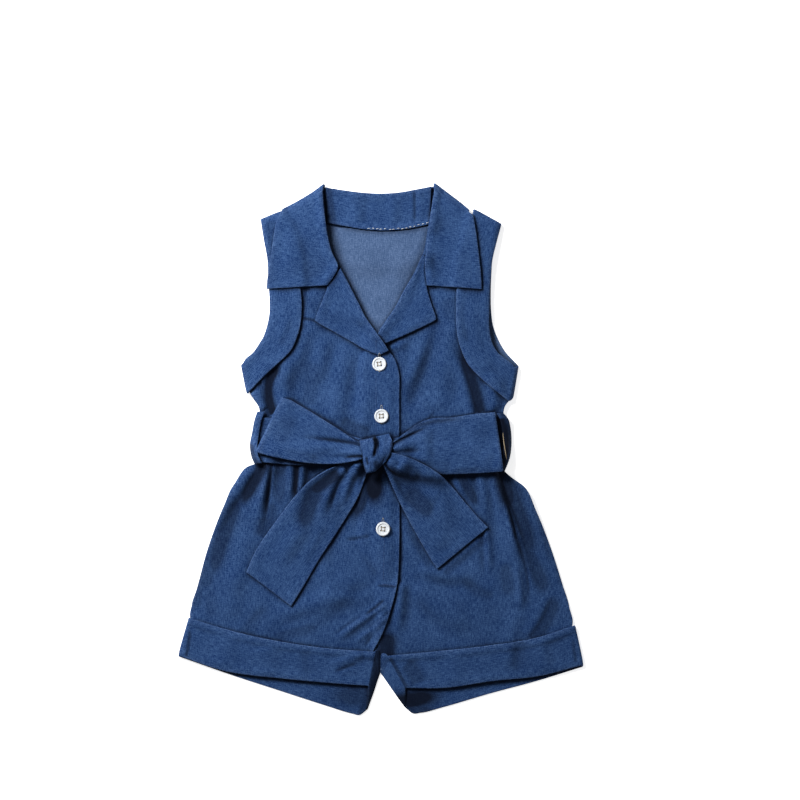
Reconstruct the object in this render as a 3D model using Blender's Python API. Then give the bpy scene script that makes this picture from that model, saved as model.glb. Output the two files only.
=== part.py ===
"""A toddler's sleeveless denim romper with a tie belt, buttoned up and laid flat on its back.

Tables are in millimetres on the laid-out plan: +X to the wearer's left, +Y to the collar, +Z up
from the surface that the romper lies on.  Each piece is drawn in plan and then settled on the
pieces beneath it, in the order in which they lie.  Solids are written in metres.
"""

import math
from collections import namedtuple

import bpy
import numpy as np
from mathutils.bvhtree import BVHTree

MM = 0.001

# Walls, millimetres.
CLOTH_WALL = 1.2  # one layer of denim with its pressed edges
CUFF_WALL = 1.8  # two layers: collar, cuffs
BELT_WALL = 1.4  # the tie is a turned tube, pressed flat
LAPEL_WALL = 1.6
SEAM_GAP = 0.3  # between neighbouring solids
LUMEN = 1.2  # space left inside a flattened ring or loop
TURN = 1.6  # how far a half turn stands out beyond the ends of its two layers
SHOULDER_TURN = 2.4
PUFF = 1.4  # how far the left front stands off the back between its seams
PUFF_OVER = 0.6  # the right front, more than the left front lifts it
LEG_PUFF = 1.0  # a leg cuff's front between its two sides
LOOP_PUFF = 1.4  # a bow loop's upper layer in its middle

# Mesh pitch of the panels, and how far each point looks round for what lies beneath it.
BACK_PITCH = 13.0
BODICE_PITCH = 9.5
SHORTS_PITCH = 8.5
STRIP_REACH = 9.0
KNOT_REACH = 4.0
HIGH_ABOVE = 200.0
ROUNDS = 3  # of settling: how far a sheet bridges what lies beneath it, in mesh steps
SHARP = 50.0  # degrees between faces that are shaded apart

# Button, millimetres.
BUTTON_WIDE = 12.0
BUTTON_THICK = 2.4
BUTTON_RIM = 1.3
BUTTON_DISH = 0.7
HOLE_WIDE = 1.5
HOLE_SPREAD = 1.55  # from the button's middle to a hole's middle, along x and y

DENIM = (0.040, 0.088, 0.245)
DENIM_INSIDE = (0.098, 0.168, 0.330)
PEARL = (0.86, 0.86, 0.84)

Edges = namedtuple("Edges", "start end left right")
Row = namedtuple("Row", "ax ay bx by")
Pleat = namedtuple("Pleat", "x0 y0 x1 y1 rise wide")
Button = namedtuple("Button", "name x y turn")

# Panels: four edges each.  start is the waist; end is the shoulder, neck or hem; left is the
# edge with the lower u, right the edge with the higher u.
BODICE_BACK = Edges(
    start=[(-103.5, -2.3), (103.5, -2.3)],
    end=[(-99.4, 190.9), (-84.0, 196.8), (-60.0, 207.6), (-47.0, 191.7), (-25.0, 187.7),
         (-1.6, 185.2), (29.0, 187.6), (42.0, 190.8), (54.0, 207.0), (73.0, 196.8), (96.4, 190.0)],
    left=[(-103.5, -2.3), (-103.5, 27.0), (-103.9, 35.7), (-107.5, 42.8), (-109.3, 50.0),
          (-115.2, 73.0), (-108.8, 82.0), (-98.5, 97.0), (-94.0, 114.0), (-94.6, 134.0),
          (-95.8, 160.0), (-99.4, 190.9)],
    right=[(103.5, -2.3), (103.5, 28.0), (104.2, 36.0), (105.4, 43.0), (110.2, 69.5),
           (104.5, 75.0), (98.0, 81.3), (93.2, 90.0), (90.0, 118.0), (90.6, 148.0),
           (94.3, 175.5), (96.4, 190.0)],
)
BODICE_FRONT_LEFT = Edges(
    start=[(-15.3, -2.3), (103.5, -2.3)],
    end=[(44.2, 216.0), (60.0, 205.8), (74.0, 197.2), (96.4, 190.0)],
    left=[(-15.3, -2.3), (-15.3, 54.0), (-13.0, 74.0), (-1.8, 101.0), (12.1, 121.6),
          (18.9, 134.6), (28.5, 151.0), (35.0, 165.0), (39.5, 188.0), (44.2, 216.0)],
    right=BODICE_BACK.right,
)
BODICE_FRONT_RIGHT = Edges(
    start=[(15.2, -2.3), (-103.5, -2.3)],
    end=[(-49.6, 216.6), (-84.0, 197.0), (-99.4, 190.9)],
    left=[(15.2, -2.3), (15.3, 43.8), (14.8, 66.0), (12.1, 75.3), (5.0, 85.6), (-1.0, 95.1),
          (-12.6, 111.0), (-21.6, 128.4), (-33.6, 152.0), (-40.5, 165.0), (-45.5, 182.0),
          (-49.6, 216.6)],
    right=BODICE_BACK.left,
)
SHORTS_FRONT_LEFT = Edges(
    start=[(-15.3, -2.7), (103.5, -2.7)],
    end=[(3.9, -178.0), (52.0, -174.5), (92.0, -169.6), (130.0, -163.5), (160.4, -153.0)],
    left=[(-15.3, -2.7), (-14.9, -53.0), (-12.5, -84.0), (4.0, -106.0), (12.6, -119.0),
          (9.2, -137.0), (5.8, -156.0), (3.9, -178.0)],
    right=[(103.5, -2.7), (104.3, -14.5), (113.5, -25.0), (121.0, -31.4), (131.3, -52.7),
           (143.2, -83.3), (153.4, -114.0), (159.6, -136.0), (161.2, -147.0), (160.4, -153.0)],
)
SHORTS_FRONT_RIGHT = Edges(
    start=[(15.2, -2.7), (-103.5, -2.7)],
    end=[(-8.6, -175.0), (-39.0, -172.6), (-84.6, -166.6), (-128.0, -156.4), (-160.3, -147.0)],
    left=[(15.2, -2.7), (15.6, -53.5), (15.3, -84.0), (13.2, -116.5), (8.2, -136.0),
          (1.6, -155.0), (-8.6, -175.0)],
    right=[(-103.5, -2.7), (-104.3, -12.0), (-113.5, -17.0), (-123.7, -28.9), (-134.7, -51.0),
           (-147.5, -85.0), (-156.8, -118.1), (-160.9, -134.0), (-161.3, -141.0),
           (-160.3, -147.0)],
)
SHORTS_BACK_LEFT = Edges(
    start=[(0.2, -2.7), (103.5, -2.7)],
    end=[(-0.6, -178.0), (8.0, -185.6), (42.0, -187.8), (83.0, -176.9), (126.0, -164.9),
         (160.6, -150.0)],
    left=[(0.2, -2.7), (0.2, -90.0), (-0.6, -178.0)],
    right=[(103.5, -2.7), (103.5, -20.5)] + SHORTS_FRONT_LEFT.right[3:-2] + [(160.6, -150.0)],
)
SHORTS_BACK_RIGHT = Edges(
    start=[(-0.2, -2.7), (-103.5, -2.7)],
    end=[(-1.4, -178.0), (-10.0, -185.6), (-42.0, -182.7), (-82.0, -171.6), (-124.5, -158.9),
         (-160.8, -143.0)],
    left=[(-0.2, -2.7), (-0.2, -90.0), (-1.4, -178.0)],
    right=[(-103.5, -2.7), (-103.5, -17.5)] + SHORTS_FRONT_RIGHT.right[3:-2] + [(-160.8, -143.0)],
)

# Strips: a row joins one point of the strip's first edge, a, to one of its second edge, b.
ARM_RIGHT = [  # outer fold to inner free edge, shoulder to underarm
    Row(-100.4, 192.4, -87.5, 199.3), Row(-98.6, 178.0, -76.0, 180.0),
    Row(-96.7, 160.0, -69.8, 160.0), Row(-96.2, 144.0, -68.8, 140.0),
    Row(-94.8, 124.0, -67.4, 122.0), Row(-95.3, 113.0, -68.0, 110.0),
    Row(-99.3, 97.6, -70.8, 97.0), Row(-104.3, 88.8, -76.6, 84.0),
    Row(-109.7, 82.9, -85.6, 74.6), Row(-114.0, 78.8, -97.0, 64.4),
    Row(-116.0, 73.7, -109.9, 49.8),
]
ARM_LEFT_FRONT = [
    Row(97.3, 190.9, 80.0, 200.2), Row(95.2, 175.5, 72.5, 179.5), Row(92.5, 160.0, 66.5, 160.0),
    Row(91.4, 147.9, 65.0, 146.0), Row(90.7, 132.0, 63.4, 130.0), Row(90.9, 118.1, 63.2, 114.0),
    Row(91.5, 104.0, 64.0, 99.0), Row(94.0, 90.5, 67.5, 85.0), Row(99.0, 82.0, 73.5, 72.2),
    Row(105.5, 76.0, 84.5, 60.2), Row(111.0, 70.2, 106.2, 41.8),
]
ARM_LEFT_BACK = [
    Row(98.0, 190.2, 80.0, 200.2), Row(96.0, 173.4, 72.5, 179.5), Row(93.2, 160.0, 66.5, 160.0),
    Row(92.3, 147.9, 65.0, 146.0), Row(92.0, 132.0, 63.4, 130.0), Row(93.0, 117.0, 63.2, 114.0),
    Row(95.4, 104.5, 64.0, 99.0), Row(99.5, 93.0, 67.5, 85.0), Row(105.0, 84.0, 73.5, 72.2),
    Row(110.0, 78.0, 84.5, 60.2), Row(113.0, 71.0, 107.3, 42.6),
]
LEG_RIGHT_FRONT = [  # upper edge to hem, side to inner leg
    Row(-161.3, -143.6, -168.2, -175.0), Row(-130.0, -153.4, -135.6, -187.0),
    Row(-84.6, -163.6, -86.3, -194.6), Row(-38.9, -169.8, -39.5, -198.4),
    Row(-7.4, -172.8, -12.9, -200.0),
]
LEG_RIGHT_BACK = [
    Row(-161.3, -143.6, -168.2, -176.0), Row(-124.5, -159.8, -130.5, -189.5),
    Row(-82.0, -172.5, -86.3, -204.4), Row(-42.1, -183.6, -48.0, -217.0),
    Row(-4.6, -190.6, -18.2, -223.8),
]
LEG_LEFT_FRONT = [
    Row(161.4, -150.0, 168.4, -181.6), Row(130.5, -160.3, 134.7, -191.6),
    Row(92.2, -166.6, 93.9, -196.8), Row(49.7, -171.3, 54.0, -202.4),
    Row(5.6, -175.4, 19.4, -203.2),
]
LEG_LEFT_BACK = [
    Row(161.4, -151.0, 168.4, -182.8), Row(126.2, -165.8, 133.0, -195.0),
    Row(83.7, -177.8, 92.2, -206.6), Row(42.9, -188.7, 54.0, -217.8),
    Row(1.6, -188.6, 26.0, -222.4),
]
BELT_FRONT = [  # upper to lower edge, right side to left side
    Row(-104.4, 27.2, -104.8, -10.4), Row(-69.3, 24.6, -69.3, -13.4),
    Row(-31.0, 13.0, -31.0, -11.4), Row(-3.0, 6.8, -3.0, -12.4), Row(24.2, 13.0, 24.2, -15.0),
    Row(62.5, 23.8, 62.5, -16.6), Row(104.4, 27.8, 104.4, -13.2),
]
BELT_BACK = [
    Row(-104.4, 27.2, -104.8, -10.4), Row(0.0, 25.0, 0.0, -14.0), Row(104.4, 27.8, 104.4, -13.2),
]
BELT_LOOP_RIGHT = [  # outer to inner edge, top to bottom
    Row(-104.6, 31.6, -98.6, 31.6), Row(-107.8, 26.0, -101.4, 25.4),
    Row(-110.4, 14.0, -103.8, 14.0), Row(-111.7, 3.0, -104.8, 2.4),
    Row(-109.9, -8.0, -103.6, -7.4), Row(-106.2, -14.8, -100.4, -13.6),
]
BELT_LOOP_LEFT = [
    Row(103.4, 32.4, 97.8, 32.4), Row(106.8, 27.6, 100.6, 26.6), Row(109.4, 19.0, 103.2, 18.0),
    Row(110.3, 8.0, 104.0, 7.4), Row(109.0, -5.0, 102.8, -4.4), Row(104.6, -17.4, 99.0, -15.8),
]
COLLAR_LEAF_RIGHT = [  # roll line to outer edge, notch to shoulder
    Row(-45.8, 139.0, -96.3, 135.6), Row(-40.0, 147.0, -96.0, 143.5),
    Row(-36.6, 154.6, -95.2, 151.8), Row(-41.5, 166.5, -94.0, 163.5),
    Row(-45.2, 180.5, -92.0, 176.5), Row(-47.4, 195.0, -90.3, 188.0),
    Row(-48.8, 208.0, -88.0, 196.0), Row(-49.8, 218.4, -85.6, 199.8),
    Row(-50.0, 220.6, -84.8, 200.8),
]
COLLAR_BACK = [  # roll line to outer edge, right shoulder to left shoulder
    Row(-49.0, 220.2, -83.0, 200.2), Row(-35.3, 218.9, -59.1, 177.7),
    Row(-18.3, 216.9, -31.0, 167.4), Row(0.0, 216.0, 0.0, 164.0),
    Row(18.3, 216.9, 31.0, 167.4), Row(33.6, 219.2, 57.4, 177.7), Row(43.8, 220.8, 73.0, 200.9),
]
COLLAR_LEAF_LEFT = [
    Row(38.4, 139.0, 85.0, 135.6), Row(37.4, 147.0, 84.8, 143.5), Row(36.8, 156.0, 84.2, 152.5),
    Row(37.6, 167.0, 82.9, 164.0), Row(39.2, 180.5, 81.4, 176.5), Row(41.2, 195.0, 79.4, 190.0),
    Row(43.0, 208.0, 77.4, 198.6), Row(44.6, 218.6, 75.0, 200.6), Row(45.0, 221.0, 74.4, 201.4),
]
COLLAR_STAND = [  # roll line to neck seam
    Row(-47.5, 220.0, -46.4, 192.4), Row(-33.6, 218.7, -32.7, 189.8),
    Row(-16.6, 216.6, -16.6, 187.0), Row(0.0, 215.7, 0.0, 185.8), Row(15.7, 216.6, 15.7, 186.4),
    Row(29.3, 218.7, 29.3, 188.4), Row(42.0, 220.6, 41.4, 191.4),
]
LAPEL_RIGHT = [  # roll line to free edge, gorge to break point
    Row(-34.6, 153.6, -45.2, 138.4), Row(-29.0, 142.8, -49.6, 128.5),
    Row(-21.4, 128.2, -57.7, 109.9), Row(-14.4, 114.0, -42.6, 101.2),
    Row(-6.4, 102.4, -24.2, 90.8), Row(1.0, 92.0, -11.5, 84.2), Row(6.4, 83.6, -2.0, 80.8),
]
LAPEL_LEFT = [
    Row(35.0, 165.4, 37.0, 163.6), Row(28.6, 151.2, 37.2, 146.0), Row(25.6, 145.4, 38.6, 137.6),
    Row(19.2, 134.8, 41.6, 127.0), Row(12.3, 121.6, 46.8, 110.9), Row(6.0, 112.0, 30.0, 100.8),
    Row(1.0, 104.0, 13.8, 93.8), Row(-4.0, 96.6, 3.2, 90.6),
]
BOW_LOOP_RIGHT = [  # upper to lower edge, knot to outer fold
    Row(-13.0, 3.6, -13.0, -7.0), Row(-21.4, 7.6, -20.0, -9.0), Row(-39.3, 19.0, -37.0, -12.0),
    Row(-57.2, 29.6, -58.0, -13.0), Row(-70.5, 37.0, -79.0, -10.4),
    Row(-78.4, 40.8, -96.6, -6.6), Row(-82.4, 41.6, -102.6, -4.2),
]
BOW_LOOP_LEFT = [
    Row(5.0, 3.0, 4.0, -11.0), Row(19.7, 13.6, 20.0, -16.6), Row(30.4, 21.6, 33.0, -19.8),
    Row(43.0, 26.2, 47.0, -21.0), Row(59.0, 27.0, 64.0, -20.8), Row(80.5, 30.2, 86.0, -19.8),
    Row(94.4, 31.3, 101.4, -18.6),
]
BOW_TAIL_RIGHT = [  # outer to inner edge, knot to end
    Row(-18.0, -5.6, -8.0, -9.0), Row(-30.0, -10.8, -11.5, -18.0),
    Row(-44.0, -16.4, -14.6, -27.0), Row(-58.0, -24.6, -19.0, -39.0),
    Row(-73.3, -39.7, -28.6, -56.0), Row(-85.8, -55.8, -41.0, -75.6),
    Row(-98.0, -72.6, -54.0, -95.6), Row(-107.5, -87.6, -65.4, -115.2),
    Row(-114.8, -104.5, -76.6, -133.4),
]
BOW_TAIL_LEFT = [
    Row(5.0, -1.4, 0.6, -9.6), Row(18.0, -4.8, 3.4, -20.0), Row(33.0, -11.0, 7.0, -34.0),
    Row(48.0, -20.0, 14.6, -50.4), Row(60.0, -31.6, 24.0, -68.0), Row(72.0, -46.0, 35.0, -83.6),
    Row(82.0, -57.4, 44.6, -92.6), Row(89.6, -65.4, 53.6, -98.6),
]
BOW_KNOT = [  # right to left edge, top to bottom
    Row(-17.4, 8.4, 7.4, 9.4), Row(-19.8, 4.0, 10.0, 4.8), Row(-18.2, -2.0, 9.2, -2.0),
    Row(-16.2, -9.0, 6.6, -8.6), Row(-14.8, -14.6, 2.6, -14.0), Row(-13.2, -18.4, -1.6, -17.6),
]
KNOT_RISE = 5.4  # of its two lobes over the bow
KNOT_RIM = 1.3
KNOT_DROP = 3.0  # how far its rim may follow the bow down
KNOT_GROOVE = 0.46  # where the line between the lobes lies, as a share across the knot
KNOT_GROOVE_WIDE = 0.09
KNOT_GROOVE_DEEP = 2.2

# Pleats and long folds of the shorts: a ridge from one point to another, steep on its outer side.
PLEATS_RIGHT = [
    Pleat(-99.0, -14.0, -126.0, -54.0, 2.2, 8.0), Pleat(-93.5, -14.0, -107.0, -84.0, 2.6, 8.5),
    Pleat(-72.0, -14.0, -75.0, -44.0, 2.2, 6.5), Pleat(4.0, -132.0, -40.0, -160.0, 1.6, 9.0),
]
PLEATS_LEFT = [
    Pleat(96.0, -24.0, 113.0, -96.0, 2.8, 9.0), Pleat(78.5, -24.0, 84.0, -50.0, 1.6, 6.5),
    Pleat(16.0, -134.0, 50.0, -164.0, 1.4, 9.0),
]
FOLDS_BODICE_RIGHT = [Pleat(-84.0, 70.0, -92.0, 36.0, 2.0, 9.0)]
FOLDS_BODICE_LEFT = [Pleat(80.0, 64.0, 85.0, 36.0, 2.0, 9.0), Pleat(44.0, 112.0, 30.0, 60.0, 1.2, 12.0)]

BUTTONS = [
    Button("button_top", -1.8, 72.4, 8.0), Button("button_middle", 0.0, 28.2, 2.0),
    Button("button_bottom", 1.4, -67.5, -6.0),
]


def along(points, count):
    """count points at even steps of length along the polyline through points."""
    points = np.array(points, float)
    lengths = np.concatenate([[0.0], np.cumsum(np.linalg.norm(np.diff(points, axis=0), axis=1))])
    wanted = np.linspace(0.0, lengths[-1], count)
    return np.stack([np.interp(wanted, lengths, points[:, axis]) for axis in range(2)], axis=1)


def length_of(points):
    return np.linalg.norm(np.diff(np.array(points, float), axis=0), axis=1).sum()


def patch(edges, rows, columns):
    """Coons patch: each point is the blend across, plus the blend along, less the corner blend."""
    start, end = along(edges.start, columns), along(edges.end, columns)
    left, right = along(edges.left, rows), along(edges.right, rows)
    u = np.linspace(0.0, 1.0, columns)[None, :, None]
    v = np.linspace(0.0, 1.0, rows)[:, None, None]
    across = (1 - u) * left[:, None] + u * right[:, None]
    lengthways = (1 - v) * start[None] + v * end[None]
    corners = (1 - v) * ((1 - u) * start[0] + u * start[-1]) + v * ((1 - u) * end[0] + u * end[-1])
    return across + lengthways - corners


def strip(rows, columns, steps):
    """Plan of a strip: cubic Hermite curves through the rows' ends, straight across."""
    ends = np.array(rows, float)
    slopes = np.gradient(ends, axis=0)
    t = np.linspace(0.0, 1.0, steps, endpoint=False)[None, :, None]
    a, b = ends[:-1, None], ends[1:, None]
    slope_a, slope_b = slopes[:-1, None], slopes[1:, None]
    curve = (
        (2 * t**3 - 3 * t**2 + 1) * a + (t**3 - 2 * t**2 + t) * slope_a
        + (3 * t**2 - 2 * t**3) * b + (t**3 - t**2) * slope_b
    ).reshape(-1, 4)
    curve = np.concatenate([curve, ends[-1:]])
    u = np.linspace(0.0, 1.0, columns)[None, :, None]
    return (1 - u) * curve[:, None, :2] + u * curve[:, None, 2:]


def with_height(plan, height):
    """Adds a z to a plan, from an array or one number."""
    return np.concatenate([plan, np.broadcast_to(height, plan.shape[:2])[..., None]], axis=2)


class Stack:
    """The pieces laid so far, as one surface that the next one is settled on."""

    def __init__(self):
        self.points, self.faces, self.tree = [], [], None

    def add(self, points, faces):
        first = len(self.points)
        self.points += [tuple(point) for point in points]
        self.faces += [tuple(corner + first for corner in face) for face in faces]
        self.tree = BVHTree.FromPolygons(self.points, self.faces)

    def top(self, x, y):
        hit = self.tree.ray_cast((x, y, HIGH_ABOVE), (0.0, 0.0, -1.0))[0] if self.tree else None
        return hit.z if hit else None

    def under(self, plan, gap, reach):
        """Height that clears everything within reach of each plan point; 0 on the bare surface."""
        offsets = [(0.0, 0.0)]
        for share in (0.5, 1.0):
            for turn in range(8):
                angle = turn * math.pi / 4
                offsets.append((share * reach * math.cos(angle), share * reach * math.sin(angle)))
        need = np.zeros(plan.shape[:2])
        for index in np.ndindex(need.shape):
            x, y = plan[index]
            tops = [self.top(x + dx, y + dy) for dx, dy in offsets]
            tops = [top for top in tops if top is not None]
            need[index] = max(tops) + gap if tops else 0.0
        return need


def settle(need, rounds):
    """Lets a sheet bridge what is beneath: each point rises to its neighbours' mean, or its need."""
    height = need.copy()
    for _ in range(rounds):
        wide = np.pad(height, 1, mode="edge")
        mean = (wide[2:, 1:-1] + wide[:-2, 1:-1] + wide[1:-1, 2:] + wide[1:-1, :-2]) / 4
        height = np.maximum(need, mean)
    return height


def folds(plan, pleats):
    """Sum of ridges: raised cosine across, steep outside and long inside, sine-faded along."""
    total = np.zeros(plan.shape[:2])
    for pleat in pleats:
        start = np.array([pleat.x0, pleat.y0])
        run = np.array([pleat.x1, pleat.y1]) - start
        length = np.linalg.norm(run)
        run = run / length
        away = plan - start
        t = (away @ run) / length
        side = away @ np.array([-run[1], run[0]])
        reach = np.where(side * (-1 if pleat.x0 < 0 else 1) > 0, 0.55, 1.0) * pleat.wide
        across = 0.5 + 0.5 * np.cos(np.pi * np.clip(side / reach, -1, 1))
        fade = np.sin(np.pi * np.clip(0.12 + 0.88 * t, 0, 1)) ** 0.7
        total += pleat.rise * across * np.where((t > -0.1) & (t < 1), fade, 0.0)
    return total


def rounded(mid, wall, ring):
    """Two grids half a wall to each side of a mid surface, along its own normals."""
    if ring:
        down = (np.roll(mid, -1, axis=0) - np.roll(mid, 1, axis=0)) / 2
    else:
        down = np.gradient(mid, axis=0)
    normal = np.cross(down, np.gradient(mid, axis=1))
    normal /= np.linalg.norm(normal, axis=2, keepdims=True)
    return mid - normal * wall / 2, mid + normal * wall / 2


def turn_rows(first, last, before, bulge, steps=4):
    """Rows of the half turn from one layer's last row to the other layer's first row."""
    out = first[:, :2] - before[:, :2]
    out = out.mean(axis=0) / np.linalg.norm(out.mean(axis=0))
    rows = []
    for step in range(1, steps):
        angle = math.pi * step / steps
        row = first + (last - first) * (1 - math.cos(angle)) / 2
        row[:, :2] += out * bulge * math.sin(angle)
        rows.append(row)
    return np.array(rows)


def wall_mesh(under, over, ring):
    """Points and quads of a closed wall between two grids, with its rim; a ring joins its ends."""
    rows, columns = under.shape[:2]
    points = np.concatenate([under.reshape(-1, 3), over.reshape(-1, 3)])
    index = np.arange(rows * columns).reshape(rows, columns)
    if ring:
        index = np.concatenate([index, index[:1]])
    low, high = index, index + rows * columns
    faces = []
    for grid, turned in ((low, True), (high, False)):
        quads = np.stack([grid[:-1, :-1], grid[:-1, 1:], grid[1:, 1:], grid[1:, :-1]], axis=-1)
        quads = quads.reshape(-1, 4)
        faces += (quads[:, ::-1] if turned else quads).tolist()
    sides = [(low[:, 0][::-1], high[:, 0][::-1]), (low[:, -1], high[:, -1])]
    if not ring:
        sides += [(low[0], high[0]), (low[-1][::-1], high[-1][::-1])]
    for bottom, top in sides:
        faces += np.stack([bottom[:-1], bottom[1:], top[1:], top[:-1]], axis=-1).tolist()
    corners = points[np.array(faces)]
    volume = np.einsum("ij,ij->i", corners[:, 0], np.cross(corners[:, 1], corners[:, 2])).sum()
    volume += np.einsum("ij,ij->i", corners[:, 0], np.cross(corners[:, 2], corners[:, 3])).sum()
    if volume < 0:
        faces = [face[::-1] for face in faces]
    return points, faces


def material(name, colour, roughness):
    made = bpy.data.materials.new(name)
    made.use_nodes = True
    shader = made.node_tree.nodes["Principled BSDF"]
    shader.inputs["Base Color"].default_value = (*colour, 1.0)
    shader.inputs["Roughness"].default_value = roughness
    shader.inputs["Metallic"].default_value = 0.0
    return made


def add_object(name, mesh, colour, roughness=0.9):
    mesh.materials.append(material(name, colour, roughness))
    made = bpy.data.objects.new(name, mesh)
    bpy.context.scene.collection.objects.link(made)
    return made


def add_wall(name, under, over, stack, colour=DENIM, ring=False):
    """Makes a closed wall an object in metres and lays it on the stack."""
    points, faces = wall_mesh(under, over, ring)
    mesh = bpy.data.meshes.new(name)
    mesh.from_pydata((points * MM).tolist(), [], faces)
    mesh.shade_smooth()
    mesh.set_sharp_from_angle(angle=math.radians(SHARP))
    stack.add(points, faces)
    return add_object(name, mesh, colour)


def add_panel(name, edges, stack, pitch, puff=0.0, pleats=(), colour=DENIM):
    """A cloth panel settled on the stack, puffed between its seams, with its folds raised."""
    rows = round(max(length_of(edges.left), length_of(edges.right)) / pitch) + 1
    columns = round(max(length_of(edges.start), length_of(edges.end)) / pitch) + 1
    plan = patch(edges, rows, columns)
    under = settle(stack.under(plan, SEAM_GAP, pitch), ROUNDS)
    u = np.linspace(0, 1, plan.shape[1])[None, :]
    v = np.linspace(0, 1, plan.shape[0])[:, None]
    under = under + puff * (1 - u**3) * np.sin(np.pi * v) ** 0.6
    if pleats:
        under = under + folds(plan, pleats)
    low = with_height(plan, under)
    return add_wall(name, low, low + (0, 0, CLOTH_WALL), stack, colour)


def lay_strip(rows, columns, steps, wall, stack):
    """Notes the hidden back layer of a ring, flat on the surface, before its ring is made."""
    low = with_height(strip(rows, columns, steps), 0.0)
    stack.add(*wall_mesh(low, low + (0, 0, wall), False))


def add_strip(name, rows, stack, wall, columns, steps):
    """An open strip settled on the stack."""
    plan = strip(rows, columns, steps)
    low = with_height(plan, settle(stack.under(plan, SEAM_GAP, STRIP_REACH), ROUNDS - 1))
    return add_wall(name, low, low + (0, 0, wall), stack)


def add_ring(name, front, back, stack, wall, columns, steps, puff=0.0):
    """A flattened ring: front layer on the stack, a half turn, back layer on the surface, turn."""
    front_plan, back_plan = strip(front, columns, steps), strip(back, columns, steps)
    under = settle(stack.under(front_plan, SEAM_GAP, STRIP_REACH), ROUNDS)
    under = np.maximum(under, wall + LUMEN)
    under = under + puff * np.sin(np.pi * np.linspace(0, 1, len(under)))[:, None]
    top = with_height(front_plan, under + wall / 2)
    low = with_height(back_plan, wall / 2)
    far = turn_rows(top[-1], low[-1], top[-2], TURN)
    near = turn_rows(low[0], top[0], low[1], TURN)
    mid = np.concatenate([top, far, low[::-1], near])
    low_side, high_side = rounded(mid, wall, True)
    return add_wall(name, low_side, high_side, stack, ring=True)


def add_loop(name, rows, stack, wall, columns, steps):
    """A bow loop: an under layer out from the knot, a half turn, and an upper layer back."""
    plan = strip(rows, columns, steps)
    under = settle(stack.under(plan, SEAM_GAP, STRIP_REACH), ROUNDS)
    low = with_height(plan, under + wall / 2)
    t = np.linspace(0, 1, len(plan))[:, None]
    u = np.linspace(0, 1, plan.shape[1])[None, :]
    opened = SEAM_GAP + (LUMEN - SEAM_GAP) * np.minimum(1, 2 * t)
    lift = wall + opened + LOOP_PUFF * np.sin(np.pi * t) * np.sin(np.pi * u)
    high = with_height(plan, under + wall / 2 + lift)
    far = turn_rows(low[-1], high[-1], low[-2], TURN)
    mid = np.concatenate([low, far, high[::-1]])
    low_side, high_side = rounded(mid, wall, False)
    return add_wall(name, low_side, high_side, stack)


def add_collar(stack):
    """Leaf over the right front, turned round the shoulder, flat under the back, and over again."""
    columns, steps, wall = 5, 1, CUFF_WALL
    halves = []
    for rows in (COLLAR_LEAF_RIGHT, COLLAR_LEAF_LEFT):
        plan = strip(rows, columns, steps)
        under = settle(stack.under(plan, SEAM_GAP, STRIP_REACH), ROUNDS)
        halves.append(with_height(plan, under + wall / 2))
    right, left = halves
    back = with_height(strip(COLLAR_BACK, columns, 2), wall / 2)
    over_right = turn_rows(right[-1], back[0], right[-2], SHOULDER_TURN, 6)
    over_left = turn_rows(left[-1], back[-1], left[-2], SHOULDER_TURN, 6)[::-1]
    mid = np.concatenate([right, over_right, back, over_left, left[::-1]])
    low_side, high_side = rounded(mid, wall, False)
    return add_wall("collar", low_side, high_side, stack)


def add_knot(stack):
    """A closed lump: two rounded lobes side by side, higher in the middle of their length."""
    plan = strip(BOW_KNOT, 9, 2)
    under = settle(stack.under(plan, SEAM_GAP, KNOT_REACH), ROUNDS)
    u = np.linspace(0, 1, plan.shape[1])[None, :]
    v = np.linspace(0, 1, plan.shape[0])[:, None]
    dome = np.sqrt(np.sin(np.pi * np.clip(u, 0.0, 1.0))) * np.sin(np.pi * (0.12 + 0.76 * v)) ** 0.5
    groove = KNOT_GROOVE_DEEP * np.exp(-(((u - KNOT_GROOVE) / KNOT_GROOVE_WIDE) ** 2))
    crown = under.max() - KNOT_DROP + (KNOT_RISE + KNOT_DROP - groove) * dome
    over = np.maximum(under + KNOT_RIM, crown)
    return add_wall("bow_knot", with_height(plan, under), with_height(plan, over), stack)


def button_mesh():
    """A turned disc with a raised rim and a dish, less four holes cut by a Boolean."""
    segments = 24
    radius = BUTTON_WIDE / 2
    profile = [
        (0.0, 0.0), (radius - 1.0, 0.0), (radius, 0.9), (radius, BUTTON_THICK - 0.6),
        (radius - 0.5, BUTTON_THICK), (radius - BUTTON_RIM, BUTTON_THICK),
        (radius - BUTTON_RIM - 0.7, BUTTON_THICK - BUTTON_DISH), (0.0, BUTTON_THICK - BUTTON_DISH),
    ]
    points, faces = [(0.0, 0.0, 0.0)], []
    for r, z in profile[1:-1]:
        for k in range(segments):
            angle = 2 * math.pi * k / segments
            points.append((r * math.cos(angle), r * math.sin(angle), z))
    points.append((0.0, 0.0, profile[-1][1]))
    last = len(points) - 1
    rings = len(profile) - 2
    for k in range(segments):
        after = (k + 1) % segments
        faces.append((0, 1 + after, 1 + k))
        for ring in range(rings - 1):
            low, high = 1 + ring * segments, 1 + (ring + 1) * segments
            faces.append((low + k, low + after, high + after, high + k))
        top = 1 + (rings - 1) * segments
        faces.append((top + k, top + after, last))
    mesh = bpy.data.meshes.new("button")
    mesh.from_pydata([tuple(MM * c for c in point) for point in points], [], faces)
    return mesh


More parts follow.
